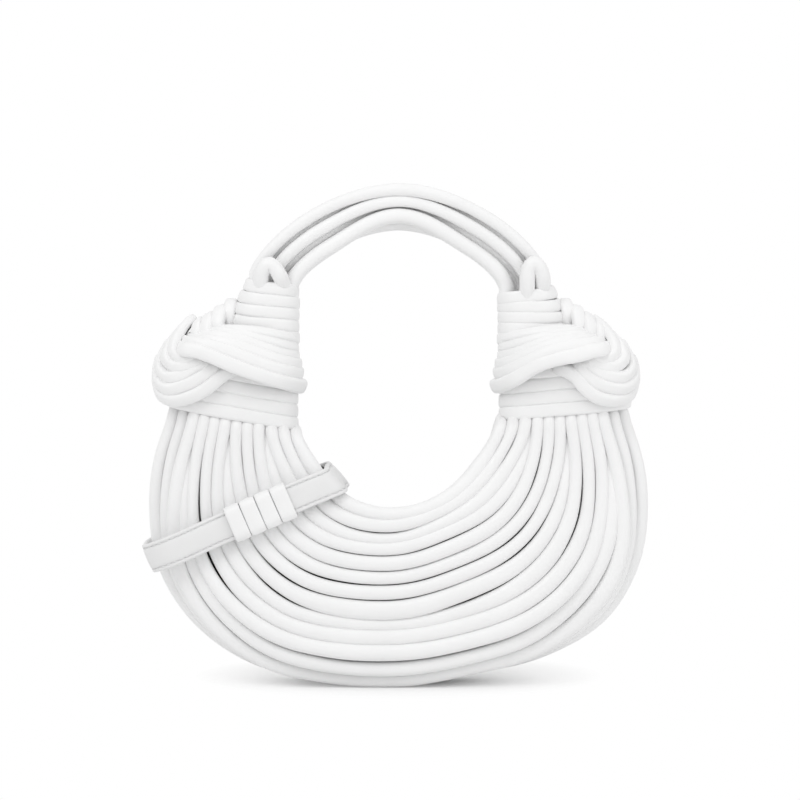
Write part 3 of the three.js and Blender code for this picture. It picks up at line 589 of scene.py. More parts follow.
# Size and wave length of the lumps in a cord's depth, height and thickness.
DEPTH_LUMPS, HEIGHT_LUMPS, THICK_LUMPS = (0.3, 170), (0.3, 190), (0.08, 60)


def relaxed(path):
    """A stuffed cord keeps no sharp bend: every point moves towards the middle of its neighbours."""
    for _ in range(RELAXING_PASSES):
        path[1:-1] = path[1:-1] / 2 + (path[:-2] + path[2:]) / 4
    return path


def body_cord(link, face, rng):
    """One body cord, from inside the left knot to inside the right one."""
    high, deep, wide = settled(link, face)
    halves = []
    for side in (-1, 1):
        moved, narrower = gap_edges(link if face < 0 else 0, side)
        side_high, side_wide = high + moved, wide - narrower
        if side > 0:
            above, here, below = (right_rise(STATIONS, (link + step) / LINKS) for step in (1, 0, -1))
            side_high, side_wide = side_high + here, side_wide + np.maximum(above - below, 0) / 4
        half = np.column_stack([section_point(side, STATIONS, side_high, face * deep), side_wide])
        halves.append(np.vstack([half[0] + np.array([0, 0, INTO_KNOT, 0]), half]))
    left, right = halves
    even = evenly(np.vstack([left, right[-2::-1]]), CORD_STEP)
    path, wide = relaxed(even[:, :3]), even[:, 3]
    path[:, 0] -= SAG * (1 - smooth(np.abs(path[:, 0]) / SAG_REACH))
    count = len(path)
    path[:, 1] += lumps(count, CORD_STEP, rng, *DEPTH_LUMPS)
    path[:, 2] += lumps(count, CORD_STEP, rng, *HEIGHT_LUMPS) * (path[:, 2] > KEEL_HEIGHT + 1)
    path, grip = held(pressed(path), link)
    swell = lumps(count, CORD_STEP, rng, *THICK_LUMPS)
    thick = SWOLLEN_RADIUS * (1 - HELD_THICKNESS * grip)
    return tube(path, TO_FRONT, wide + swell, thick + swell, squareness=CORD_SQUARENESS)


def on_floor(shape):
    """Soft things rest flat: nothing goes below the floor."""
    points, faces = shape
    points[:, 2] = np.maximum(points[:, 2], 0.0)
    return points, faces


keel_shape = on_floor(body_cord(0, -1, np.random.default_rng(100)))
hang_on(new_piece("keel_cord_leather", keel_shape, cord_leather), "bag", "cord_leather", "keel_cord")
for face_name, face in (("front", -1), ("back", 1)):
    for link in range(1, LINKS + 1):
        rng = np.random.default_rng(200 + 20 * (face > 0) + link)
        node = f"{face_name}_cord_{link:02d}"
        cord = new_piece(f"{node}_leather", on_floor(body_cord(link, face, rng)), cord_leather)
        hang_on(cord, "bag", "cord_leather", node)
print("body cords:", 1 + 2 * LINKS, "of", 2 * SWOLLEN_RADIUS, "mm")

# %% [markdown]
# ## Handle cords
#
# The handle is six more of the same cords in three rows of two. They rise from the necks of the knots,
# lie close at the crown and part a little lower down, where the eye sees through to the cords behind.
# The arch leans inwards as it leaves the necks. Each cord is one tube from neck to neck, not cut there,
# and it is fixed in place rather than attached to a body.

# %% The arch
NECK_HEIGHT, NECK_CENTRE, HANDLE_TOP = 202.0, 63.2, 250.0
CORD_RADIUS = 3.6
ROW_PITCH, ROOT_PITCH = 8.1, 6.6
HANDLE_LEAN, HANDLE_RISE, HANDLE_CROWN, HANDLE_SWELL = 20.0, 16.0, 0.43, 12.0
HANDLE_STEPS, HANDLE_STEP, HANDLE_FOOT = 40, 2.4, 12.0
CROWN_HALF_WIDTH, HANDLE_SQUARENESS, BACK_ROW_DEPTH = 40.0, 0.94, 1.5
BEND_LUMPS, SWELL_LUMPS = (0.3, 110), (0.1, 55)
# Offset from the middle of the handle and radius of each row, at its root, low in the arch and at the
# crown. The front rows part low down, and the back rows lie behind those gaps.
HANDLE_ROWS = {
    ("front", "outer"): ((8.8, 3.0), (8.5, 3.1), (8.6, 3.3)),
    ("front", "middle"): ((0.3, 2.9), (0.6, 3.2), (2.9, 2.9)),
    ("front", "inner"): ((-10.0, 3.9), (-9.2, 3.9), (-4.4, 3.8)),
    ("back", "outer"): ((4.1, 3.1), (5.0, 3.6), (6.5, 3.6)),
    ("back", "middle"): ((-2.4, 3.1), (-3.0, 3.6), (-1.0, 3.6)),
    ("back", "inner"): ((-6.6, 3.1), (-8.1, 3.6), (-8.1, 3.6)),
}


def arch_middle(t):
    """The middle row from the neck to the top of the arch: a cubic curve in the plane of the bag."""
    lean = math.radians(HANDLE_LEAN)
    top = HANDLE_TOP - CORD_RADIUS - ROW_PITCH
    ends = np.array([
        (NECK_CENTRE, NECK_HEIGHT),
        (NECK_CENTRE - HANDLE_RISE * math.sin(lean), NECK_HEIGHT + HANDLE_RISE * math.cos(lean)),
        (NECK_CENTRE * HANDLE_CROWN, top),
        (0.0, top)])
    t = t[:, None]
    weights = ((1 - t) ** 3, 3 * t * (1 - t) ** 2, 3 * t**2 * (1 - t), t**3)
    return sum(w * p for w, p in zip(weights, ends))


def handle_cord(places, face, rng):
    """One handle cord, from deep in the left neck to deep in the right one."""
    middle = arch_middle(np.linspace(0, 1, HANDLE_STEPS))
    along = unit(np.gradient(middle, axis=0))
    outward = np.column_stack([along[:, 1], -along[:, 0]])
    swell = smooth((middle[:, 1] - NECK_HEIGHT) / HANDLE_SWELL)
    near_crown = smooth(1 - middle[:, 0] / CROWN_HALF_WIDTH)
    root, low, crown = np.array(places)[:, :, None]
    offset, radius = mix(root, mix(low, crown, near_crown), swell)
    flat = middle + outward * offset[:, None]
    low_depth = -PITCH / 2 if face < 0 else BACK_ROW_DEPTH
    deep = mix(face * ROOT_PITCH / 2, mix(low_depth, face * PITCH / 2, near_crown), swell)
    half = np.column_stack([flat[:, 0], deep, flat[:, 1], radius])
    foot = half[0] - np.array([0, 0, HANDLE_FOOT, 0])
    half = np.vstack([foot, half])
    even = evenly(np.vstack([half * np.array([-1, 1, 1, 1]), half[-2::-1]]), HANDLE_STEP)
    path, radius = even[:, :3], even[:, 3]
    path[:, 1] += lumps(len(path), HANDLE_STEP, rng, *BEND_LUMPS)
    radius = radius + lumps(len(path), HANDLE_STEP, rng, *SWELL_LUMPS)
    return tube(path, TO_FRONT, radius, radius, squareness=HANDLE_SQUARENESS)


for number, ((face_name, row_name), places) in enumerate(HANDLE_ROWS.items()):
    face = -1 if face_name == "front" else 1
    shape = handle_cord(places, face, np.random.default_rng(300 + number))
    cord = new_piece(f"handle_{face_name}_{row_name}_leather", shape, cord_leather)
    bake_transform(cord)
    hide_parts(f"handle_{face_name}_{row_name}_cord")

# %% [markdown]
# ## Knots
#
# Each knot is wound and tied from the same leather. A winding of four turns holds the body cords, one
# of five turns holds the handle's feet, a curl of five strands goes round the outer side, and a band of six
# crosses over it and round the inner side. Short strands lie over the shoulder between curl and neck.
# A knot could be simulated, but a tied one rarely lands on a photograph. So each strand gets a
# listed path over the front, mirrored over to the back. Strands lie a little closer than their
# width, so they press into each other as pulled leather does.

# %% Places of the strands: outward, depth and height in mm, from the tuck to the side of the knot
BAND = (
    ((109, 15, 168.5), (107.1, 20.5, 168), (100.7, 23.2, 167.4), (93.5, 24.3, 165.2),
     (86.4, 24.6, 162.4), (79.2, 24.4, 159.5), (68.5, 22.5, 155.6), (57.8, 17.5, 152),
     (51, 9.5, 149.8), (48.8, 0, 149.2)),
    ((107.5, 12, 171.5), (105, 17.5, 171.3), (100.7, 20.5, 170.9), (93.5, 22.5, 170),
     (82.8, 23.3, 167), (72.1, 22.8, 163), (61.4, 19, 158.8), (53.5, 12, 156.4),
     (49.9, 0, 155.6)),
    ((105.5, 9, 173), (102, 14.5, 172.9), (98.5, 17.5, 172.6), (93.5, 19.7, 172.4),
     (85, 21.5, 171.4), (75, 21.7, 168.7), (65, 19, 164.8), (56.4, 14, 161.8),
     (51.4, 7, 160.3), (50.5, 0, 160)),
    ((102, 9, 174.3), (97, 15, 174.6), (92.1, 18, 174.6), (86.4, 19.5, 174.2),
     (76.4, 20, 172.6), (66.4, 18, 169.3), (57.8, 13.5, 166.2), (52.6, 7, 164.6),
     (51.6, 0, 164.3)),
    ((97, 9.5, 175.7), (91, 14.5, 176.2), (86.4, 17, 176.2), (76.4, 18.2, 175.4),
     (66.4, 17, 173), (57.8, 12.8, 170.4), (52.8, 6.5, 168.8), (51.8, 0, 168.4)),
    ((91, 9.5, 177.3), (87, 13, 177.6), (83.5, 15, 177.7), (76.4, 16.5, 177.5),
     (66.4, 16, 176.4), (57.8, 12, 174.6), (53.2, 6.3, 173.3), (52.2, 0, 173)),
)
CURL = (
    ((99, 15, 166.5), (102.8, 17.5, 164.9), (108.5, 18.5, 162.9), (112.3, 17.8, 166.3),
     (112, 15, 172), (109.2, 9, 177.4), (107, 4, 180.2), (106, 0, 181)),
    ((94, 15, 162), (98.5, 17.8, 163), (105.7, 18.6, 160.3), (112, 18.4, 159.4),
     (115.9, 16.5, 163.4), (115, 13, 169.3), (112.3, 7, 173.6), (110.6, 0, 175)),
    ((91.5, 15, 161.5), (95.7, 17.6, 161.9), (100.7, 18.4, 160), (107.8, 18.6, 155.9),
     (115, 17.5, 154.3), (119, 14, 157.9), (118.6, 10, 163), (117, 5, 166.8),
     (116.2, 0, 168)),
    ((86, 15, 161.5), (90.7, 17.5, 159.8), (97.8, 18.4, 155.1), (106.4, 18.6, 150.8),
     (115, 16.8, 148.6), (120, 13, 152), (120.6, 8, 157), (119.8, 0, 160.5)),
    ((79, 15, 159), (82.8, 17.3, 157.7), (87.8, 18, 154.8), (95.7, 18.3, 149),
     (105, 17.5, 144.6), (112.8, 15.5, 143), (118.3, 11, 145.2), (120.4, 5, 149.9),
     (120.3, 0, 152)),
)
SHOULDER = (
    ((85, 4.5, 176), (84.8, 5.6, 181), (84.3, 5.2, 186), (83.6, 3.2, 189.2), (83.2, 0, 190.4)),
    ((89.8, 9.5, 174.5), (89.8, 10.6, 179), (89.4, 9, 183), (88.8, 5.2, 186), (88.4, 0, 187)),
    ((95.2, 11.8, 173), (95.4, 12.8, 176.5), (95, 10.6, 180.2), (94.4, 6, 182.8), (94.1, 0, 183.6)),
    ((100.4, 12, 172.5), (100.6, 12.8, 175), (100.2, 10.4, 178.2), (99.6, 5.8, 180.4), (99.3, 0, 181.2)),
)
BAND_WIDTHS = (3.7, 3.3, 3.0, 2.8, 2.7, 2.6)
CURL_WIDTHS = (3.1, 3.1, 3.2, 3.3, 3.6)
SHOULDER_WIDTHS = (3.3, 3.5, 3.2, 2.8)
STRAND_THICKNESS, STRAND_SQUARENESS = 0.82, 0.68
STRAND_STEP, STRAND_LUMPS = 1.7, (0.1, 35)
# Flattened cords need more points round them than round ones.
FLAT_SIDES = 20
# At the side of the knot the strands of the curl lie flatter and wider.
CURL_SPREAD, SPREAD_REACH = 1.4, 12.0
HEART = np.array([84.0, 0.0, 162.0])
# The right knot is drawn in more than the left one, most of all at the eye of its curl.
KNOT_PULL = {-1: 1.5, 1: 6.5}
PULL_FROM, PULL_EYE, PULL_RIM = 85.0, 106.0, 122.0
# The right band rises sooner from the inner side, its lowest strand most.
BAND_LIFTS = {-1: (0, 0, 0, 0, 0, 0), 1: (5.0, 3.5, 2.0, 1.0, 0.5, 0)}
LIFT_FROM, LIFT_TOP, LIFT_END = 50.0, 72.0, 102.0


def pulled(points, side):
    """The strands of band and curl, drawn in towards the middle of the knot."""
    share = smooth((points[:, 0] - PULL_FROM) / (PULL_EYE - PULL_FROM))
    share *= 1 - smooth((points[:, 0] - PULL_EYE) / (PULL_RIM - PULL_EYE)) / 2
    points[:, 0] -= KNOT_PULL[side] * share
    return points


def strand(side, front_half, half_width, rng, draw=True, lift=0.0, spread=0.0):
    """A strand over the front of a knot and, mirrored, over its back."""
    front = np.array(front_half) * np.array([1, -1, 1])
    rising = smooth((front[:, 0] - LIFT_FROM) / (LIFT_TOP - LIFT_FROM))
    front[:, 2] += lift * rising * (1 - smooth((front[:, 0] - LIFT_TOP) / (LIFT_END - LIFT_TOP)))
    front = pulled(front, side) if draw else front
    back = front[-2::-1] * np.array([1, -1, 1])
    path = flowing(np.vstack([front, back]), STRAND_STEP)
    facing = path - HEART
    swell = lumps(len(path), STRAND_STEP, rng, *STRAND_LUMPS)
    wide = half_width + swell + spread * (1 - smooth(np.abs(path[:, 1]) / SPREAD_REACH))
    path[:, 0] *= side
    facing[:, 0] *= side
    return tube(path, facing, wide, half_width * STRAND_THICKNESS + swell, FLAT_SIDES, STRAND_SQUARENESS)


print("strands of band, curl and shoulder:", len(BAND), len(CURL), len(SHOULDER))

# %% Windings
BASE_PITCH, BASE_TURNS = 6.5, 4
# Half width and half thickness of the flattened cords.
BASE_WRAP, NECK_WRAP, WRAP_SQUARENESS = (3.45, 2.0), (3.1, 1.7), 0.62
NECK_TURNS, NECK_HALF_DEPTH = 5, 11.6
# Lowest height, pitch and slants of each neck winding. The right one sits lower, its turns fall outward,
# and only its last turn rises.
NECK_WINDINGS = {-1: (172.0, 5.8, 0.03, 0.03), 1: (170.0, 5.4, -0.07, 0.04)}
LAST_TURN = 3.3
# The neck narrows upwards on its outer side only, and the turns lie flat on that slope.
NECK_TAPER = 0.39
# Height, centre and half width of the neck's outside.
NECK_LEVELS = np.array([(170, 68.4, 19.4), (178, 67.4, 17.9), (183.8, 66.6, 17.3), (193.4, 64.6, 15.5),
                        (202, 62.9, 12.9), (206, 62.5, 12.4)])
TURN_STEPS = 40
BASE_STEP, BASE_LUMPS, NECK_STEP, NECK_LUMPS = 3.5, (0.1, 40), 2.0, (0.1, 30)


def winding(side, turns, level, slant, centre, half, half_depth, taper, wrap, swell):
    """A flattened cord, wound in a flat oval. A slant lifts the turns on their outer side, and with a
    taper they lie on a slope there."""
    wide, deep = squared(turns * math.tau + math.pi / 2, WRAP_ROUNDNESS)
    outward = half * wide
    path = np.column_stack([centre + outward, half_depth * deep, level + slant * outward])
    up = taper * np.maximum(outward, 0) / half**2
    facing = np.column_stack([outward / half**2, deep / half_depth, up])
    flip = np.array([side, 1, 1])
    return tube(path * flip, facing * flip, wrap[0] + swell, wrap[1] + swell, FLAT_SIDES, WRAP_SQUARENESS)


def base_winding(side, rng):
    """Four turns round the body cords, lower on the inner side."""
    turns = np.linspace(0, BASE_TURNS, BASE_TURNS * TURN_STEPS + 1)
    edge, rise = BASE_EDGES[side]
    level = edge + BASE_WRAP[0] - BASE_PITCH / 2 + BASE_PITCH * turns
    swell = lumps(len(turns), BASE_STEP, rng, *BASE_LUMPS)
    return winding(side, turns, level, rise, KNOT_CENTRE, BASE_HALF_WIDTH, BASE_HALF_DEPTH, 0.0, BASE_WRAP,
                   swell)


def neck_winding(side, rng):
    """Five turns round the handle's feet, wider towards the knot."""
    turns = np.linspace(0, NECK_TURNS, NECK_TURNS * TURN_STEPS + 1)
    lowest, pitch, low_slant, top_slant = NECK_WINDINGS[side]
    level = lowest + pitch * turns
    slant = mix(low_slant, top_slant, smooth(turns - LAST_TURN))
    centre, half = (np.interp(level, NECK_LEVELS[:, 0], NECK_LEVELS[:, i]) for i in (1, 2))
    swell = lumps(len(turns), NECK_STEP, rng, *NECK_LUMPS)
    return winding(side, turns, level, slant, centre, half - NECK_WRAP[1], NECK_HALF_DEPTH, NECK_TAPER,
                   NECK_WRAP, swell)


print("turns at the base and at the neck:", BASE_TURNS, NECK_TURNS)

# %% Hearts and bights
# Height, centre, half width and half depth of the bound middle of a knot.
HEART_LEVELS = np.array([(133.5, 83.3, 24, 8.5), (140, 83.3, 27, 10), (150, 84.5, 30, 12),
                         (160, 85, 30, 13), (168, 84, 27, 12), (174, 80, 24, 8), (182, 73, 18, 6.5),
                         (188, 66, 13, 7), (195, 64.3, 11, 7)])
HEART_RINGS, HEART_SIDES, HEART_STEP, HEART_LUMPS = 34, 28, 2.0, (0.3, 14)
# The bound ends stand out as ribs.
RIBS, RIB_HEIGHT = 7, 0.04
# The loops differ: the left one leans over to the inner side, the right one stands upright.
BIGHTS = {
    -1: ((68.2, 7.6, 194.5), (68.3, 8.6, 198.5), (68.2, 10.6, 202.5), (67.4, 12.3, 206.3),
         (65.6, 13, 209.4), (63, 13.1, 209.7), (60.6, 13, 207.3), (58.8, 12.3, 204.2),
         (57.7, 10, 201.4), (57.2, 7.4, 198.4), (57, 6.4, 195)),
    1: ((63.8, 7.8, 190), (63.8, 9.6, 194.5), (63.8, 11.6, 199), (63.9, 12.8, 203.8),
        (64.8, 13.1, 208.2), (67.3, 13.1, 210.5), (69.9, 12.7, 208.2), (71.4, 11.6, 204),
        (71.7, 9.4, 200.2), (71.5, 7, 197), (71.3, 5.8, 192)),
}
BIGHT_RADIUS, BIGHT_STEP = 3.9, 0.6
CREASE_PITCH, CREASE_DEPTH, CREASE_FROM, CREASE_EASE = 1.9, 0.14, 203.0, 4.0


def heart(side, rng):
    """The bound cord ends in the middle of the knot, seen only in the gaps."""
    heights = np.linspace(HEART_LEVELS[0, 0], HEART_LEVELS[-1, 0], HEART_RINGS)
    centre, half, deep = (np.interp(heights, HEART_LEVELS[:, 0], HEART_LEVELS[:, i]) for i in (1, 2, 3))
    pinch = lumps(HEART_RINGS, HEART_STEP, rng, *HEART_LUMPS)
    turn = np.arange(HEART_SIDES) * math.tau / HEART_SIDES
    ends = 1 + RIB_HEIGHT * np.cos(RIBS * turn)
    rings = np.stack([side * centre[:, None] + np.outer(half + pinch, ends * np.cos(turn)),
                      np.outer(deep + pinch, ends * np.sin(turn)),
                      np.outer(heights, np.ones(HEART_SIDES))], axis=2)
    return rings.reshape(-1, 3), ring_faces(HEART_RINGS, HEART_SIDES)


def bight(side):
    """A small loop of cord that stands up in front of the neck, creased inside its bend."""
    path = flowing(np.array(BIGHTS[side]) * np.array([side, -1, 1]), BIGHT_STEP)
    facing = path - path.mean(axis=0)
    facing[:, 1] = 0
    at = np.arange(len(path)) * BIGHT_STEP
    in_bend = smooth((path[:, 2] - CREASE_FROM) / CREASE_EASE)
    crease = CREASE_DEPTH * in_bend * (1 + np.sin(at * math.tau / CREASE_PITCH))
    return tube(path, facing, BIGHT_RADIUS, BIGHT_RADIUS - crease)


print("heart of a knot from", HEART_LEVELS[0, 0], "to", HEART_LEVELS[-1, 0], "mm high")

# %% The knots
for side_name, side in (("left", -1), ("right", 1)):
    rng = np.random.default_rng(400 + (side > 0))
    made = {
        "knot_band": joined([strand(side, s, w, rng, lift=up)
                             for s, w, up in zip(BAND, BAND_WIDTHS, BAND_LIFTS[side])]),
        "knot_curl": joined([strand(side, s, w, rng, spread=CURL_SPREAD)
                             for s, w in zip(CURL, CURL_WIDTHS)]),
        "knot_shoulder": joined(
            [strand(side, s, w, rng, draw=False) for s, w in zip(SHOULDER, SHOULDER_WIDTHS)]),
        "base_winding": base_winding(side, rng),
        "neck_winding": neck_winding(side, rng),
        "knot_core": heart(side, rng),
        "bight": bight(side),
    }
    for part, shape in made.items():
        piece = new_piece(f"{side_name}_{part}_leather", shape, wrap_leather)
        hang_on(piece, "bag", "wrap_leather", f"{side_name}_{part}")
print("knots: 2, each with", len(BAND) + len(CURL) + len(SHOULDER), "strands, 2 windings and a bight")

# %% [markdown]
# ## Strap and keeper
#
# The strap is one flat band, closed round the left arm, with a row of stitches near each edge. Its
# edges are turned and rounded, and the stitches pull a shallow groove. A plain box would show neither,
# so the band is a section with that groove, carried round a loop. The stitches are small separate
# lengths of thread. The keeper is a flattened cord, wound four times round the strap.

# %% The band
STRAP_CENTRE, STRAP_SLOPE = np.array([-75.3, 0.0, 84.8]), math.radians(23.3)
STRAP_OUTER_END, STRAP_MOUTH_END, STRAP_FRONT, STRAP_BACK = -53.1, 48.3, -27.9, 25.3
STRAP_OUTER_CORNER, STRAP_MOUTH_CORNER, CORNER_POINTS = 14.9, 4.9, 14
STRAP_STEP, GROOVE = 1.6, 5.6
UPWARDS = np.array([0.0, 0.0, 1.0])
MOUTH_END_SHEAR, MOUTH_END_REACH = 0.33, 30.0
# Across and out of the band, once round: rounded edges, stitch grooves, a soft crown and a flat back.
STRAP_SECTION = np.array([
    (-7.5, 0), (-7.35, 0.7), (-6.95, 1.02), (-6.3, 1.12), (-6, 0.95), (-5.6, 0.15), (-5.2, 0.95),
    (-4.8, 1.2), (-3, 1.38), (0, 1.45), (3, 1.38), (4.8, 1.2), (5.2, 0.95), (5.6, 0.15), (6, 0.95),
    (6.3, 1.12), (6.95, 1.02), (7.35, 0.7), (7.5, 0), (7.3, -0.75), (6.8, -1.05), (3.5, -1.1),
    (0, -1.1), (-3.5, -1.1), (-6.8, -1.05), (-7.3, -0.75)])
# Waves that a soft band keeps, in size and number round the loop: two out of its plane, one along it.
STRAP_WAVES = ((0.25, 5), (0.15, 11), (0.15, 7))


def placed(points):
    """From the strap's own frame (length, depth, width) to the bag. Its mouth end turns over on a slant."""
    points = np.array(points, float)
    near_mouth = smooth(1 - (STRAP_MOUTH_END - points[:, 0]) / MOUTH_END_REACH)
    points[:, 0] -= MOUTH_END_SHEAR * points[:, 2] * near_mouth
    c, s = math.cos(STRAP_SLOPE), math.sin(STRAP_SLOPE)
    turned = np.column_stack([c * points[:, 0] - s * points[:, 2], points[:, 1],
                              s * points[:, 0] + c * points[:, 2]])
    return turned + STRAP_CENTRE


def strap_loop(step):
    """Middle line of the band, once round, and the way it faces."""
    left, right = STRAP_OUTER_END, STRAP_MOUTH_END
    corners = ((right, STRAP_FRONT, STRAP_MOUTH_CORNER, -90), (right, STRAP_BACK, STRAP_MOUTH_CORNER, 0),
               (left, STRAP_BACK, STRAP_OUTER_CORNER, 90), (left, STRAP_FRONT, STRAP_OUTER_CORNER, 180))
    line = []
    for x, y, radius, start in corners:
        centre = (x - math.copysign(radius, x), y - math.copysign(radius, y))
        for turn in np.radians(np.linspace(start, start + 90, CORNER_POINTS)):
            line.append((centre[0] + radius * math.cos(turn), centre[1] + radius * math.sin(turn), 0.0))
    loop = evenly(np.array(line + line[:1]), step)[:-1]
    along = unit(np.roll(loop, -1, axis=0) - np.roll(loop, 1, axis=0))
    return loop, np.cross(along, UPWARDS)


def strap_band():
    """The section, carried once round the loop, and how far each place waves out of its plane."""
    rng = np.random.default_rng(500)
    loop, out = strap_loop(STRAP_STEP)
    turn = np.arange(len(loop)) * math.tau / len(loop)
    slow, quick, edge = (size * np.sin(times * turn + rng.uniform(0, 6)) for size, times in STRAP_WAVES)
    wave = slow + quick
    across, lift = STRAP_SECTION.T
    points = [loop[i] + np.outer(lift + wave[i], out[i]) + np.outer(across + edge[i], UPWARDS)
              for i in range(len(loop))]
    return (placed(np.vstack(points)), ring_faces(len(loop), len(across), closed=True)), wave


strap_shape, strap_wave = strap_band()
strap = new_piece("strap_leather", strap_shape, strap_leather)
hang_on(strap, "bag", "strap_leather", "strap")
print("strap loop:", len(strap_wave), "sections")

# %% The stitches
STITCH_LENGTH, STITCH_PITCH, THREAD_RADIUS = 2.3, 3.4, 0.36
SEAM_STEP, STITCH_POINTS, THREAD_SIDES = 0.3, 6, 6
# Height of a stitch over the middle of the band, and how far its ends dip.
STITCH_HEIGHT, STITCH_DIP = 0.85, 0.8


def stitches():
    """Two rows of thread lengths, each dipping into the leather at its ends."""
    loop, out = strap_loop(SEAM_STEP)
    count = len(loop)
    per_stitch = STITCH_LENGTH / SEAM_STEP
    lift = STITCH_HEIGHT - STITCH_DIP * np.abs(np.linspace(-1, 1, STITCH_POINTS)) ** 3
    rows = []
    for row in (-GROOVE, GROOVE):
        for first in np.arange(0, count - per_stitch, STITCH_PITCH / SEAM_STEP):
            at = (first + np.linspace(0, per_stitch, STITCH_POINTS)).astype(int)
            wave = np.interp(at / count, np.arange(len(strap_wave)) / len(strap_wave), strap_wave)
            path = loop[at] + out[at] * (lift + wave)[:, None] + row * UPWARDS
            facing = placed(path + out[at]) - placed(path)
            rows.append(tube(placed(path), facing, THREAD_RADIUS, THREAD_RADIUS, THREAD_SIDES))
    return joined(rows), len(rows)


stitch_shape, stitch_count = stitches()
strap_stitching = new_piece("strap_stitching", stitch_shape, stitch_thread)
hang_on(strap_stitching, "bag", "strap_leather")
print("stitches:", stitch_count)

# %% The keeper
KEEPER_TURNS, KEEPER_PITCH, KEEPER_OFFSET, KEEPER_STEPS = 4, 8.2, 8.0, 44
KEEPER_ROUND, KEEPER_STRAIGHT = 2.98, 5.5
KEEPER_HALF_WIDTH, KEEPER_HALF_THICKNESS, KEEPER_SQUARENESS = 3.96, 0.92, 0.75
KEEPER_STEP, KEEPER_LUMPS = 1.1, (0.1, 45)


def keeper():
    """Four turns of flattened cord round the front run of the strap."""
    done, share = np.divmod(np.arange(KEEPER_TURNS * KEEPER_STEPS + 1) / KEEPER_STEPS, 1)
    # The turns lie square across the front. The cord moves on behind the strap.
    on = smooth(4 * share) / 2 + smooth(4 * share - 3) / 2
    length = KEEPER_OFFSET + KEEPER_PITCH * (done + on - KEEPER_TURNS / 2)
    # Each turn goes up behind the strap, over its upper edge, down the front and back under its lower edge.
    bend = math.pi * KEEPER_ROUND
    gone = share * (4 * KEEPER_STRAIGHT + 2 * bend)
    over = np.clip(gone - KEEPER_STRAIGHT, 0, bend)
    under = np.clip(gone - 3 * KEEPER_STRAIGHT - bend, 0, bend)
    turn = (over + under) / KEEPER_ROUND
    straight = (gone - over - under) / KEEPER_STRAIGHT
    height = KEEPER_STRAIGHT * np.interp(straight, (0, 1, 3, 4), (0, 1, -1, 0))
    facing = np.column_stack([0 * turn, np.cos(turn), np.sin(turn)])
    path = np.column_stack([length, np.full_like(length, STRAP_FRONT), height]) + KEEPER_ROUND * facing
    swell = lumps(len(path), KEEPER_STEP, np.random.default_rng(510), *KEEPER_LUMPS)
    return tube(placed(path), placed(path + facing) - placed(path), KEEPER_HALF_WIDTH + swell,
                KEEPER_HALF_THICKNESS + swell, FLAT_SIDES, KEEPER_SQUARENESS)


strap_keeper = new_piece("strap_keeper_leather", keeper(), wrap_leather)
hang_on(strap_keeper, "keeper", "wrap_leather", "strap_keeper")
print("keeper turns:", KEEPER_TURNS)

# %% [markdown]
# ## Lining and snap
#
# Inside hangs a sewn pouch of charcoal twill, open at the mouth, with a magnetic snap. It hardly shows from
# outside: its charcoal is painted shade, which makes the gaps between cords dark. It is a lofted shell with
# a hem, pinched to a seam at both ends, with slow folds where the cords let it bulge.

# %% The pouch
LINING_START, LINING_CLOTH, LINING_BELOW_MOUTH, LINING_GAP = 0.36, 1.0, 1.5, 4.4
BOTTOM_LINKS = 2
# Points along half the pouch, down a wall and round its bottom corner.
POUCH_STEPS, WALL_STEPS, CORNER_STEPS = 36, 14, 6
CORNER_RADIUS, CORNER_SHARE = 9.0, 0.8
# How the pouch is pinched at its end seams: reach, share kept, least half depth, and step of the inside.
SEAM_REACH, SEAM_KEPT, SEAM_HALF_DEPTH, SEAM_INSET = 0.1, 0.12, 0.25, 0.004
FOLD_DEPTH, FOLD_WAVES = 0.7, 60


def lining_room(station):
    """Half depth, floor and mouth of the pouch in the sections at these stations."""
    inward, depth = chain_at(station)
    half_depth = depth[BOTTOM_LINKS + 1:].min(axis=0) - LINING_GAP
    floor = inward[:BOTTOM_LINKS + 1].max(axis=0) + LINING_GAP
    return half_depth, floor, inward[-1] - LINING_BELOW_MOUTH


def pouch_skin(inset):
    """One skin of the pouch: rows from the front mouth down, along the floor and up to the back mouth."""
    start = LINING_START + SEAM_INSET * inset
    half = np.linspace(start, 1, POUCH_STEPS)
    side = np.repeat((-1, 1), (POUCH_STEPS, POUCH_STEPS - 1))
    station = np.concatenate([half, half[-2::-1]])
    half_depth, floor, mouth = lining_room(station)
    pinch = smooth((station - start) / SEAM_REACH + SEAM_KEPT)
    half_depth = np.maximum(half_depth * pinch - inset, SEAM_HALF_DEPTH)
    floor = floor + inset
    bend = np.minimum(CORNER_RADIUS, half_depth * CORNER_SHARE)
    skin = []
    for face in (-1, 1):
        rows = []
        for share in np.linspace(1, 0, WALL_STEPS)[:-1]:
            fold = FOLD_DEPTH * np.sin(station * FOLD_WAVES + side * 2 + face) * (1 - share) * pinch
            rows.append((mix(floor + bend, mouth, share), half_depth - np.abs(fold)))
        for turn in np.radians(np.linspace(0, 90, CORNER_STEPS)):
            rows.append((floor + bend * (1 - math.sin(turn)), half_depth - bend * (1 - math.cos(turn))))
        for level, deep in rows[::-face]:
            level = level + right_rise(station, level / (mouth + LINING_BELOW_MOUTH)) * (side > 0)
            skin.append(section_point(side, station, level, face * deep))
    return np.array(skin)


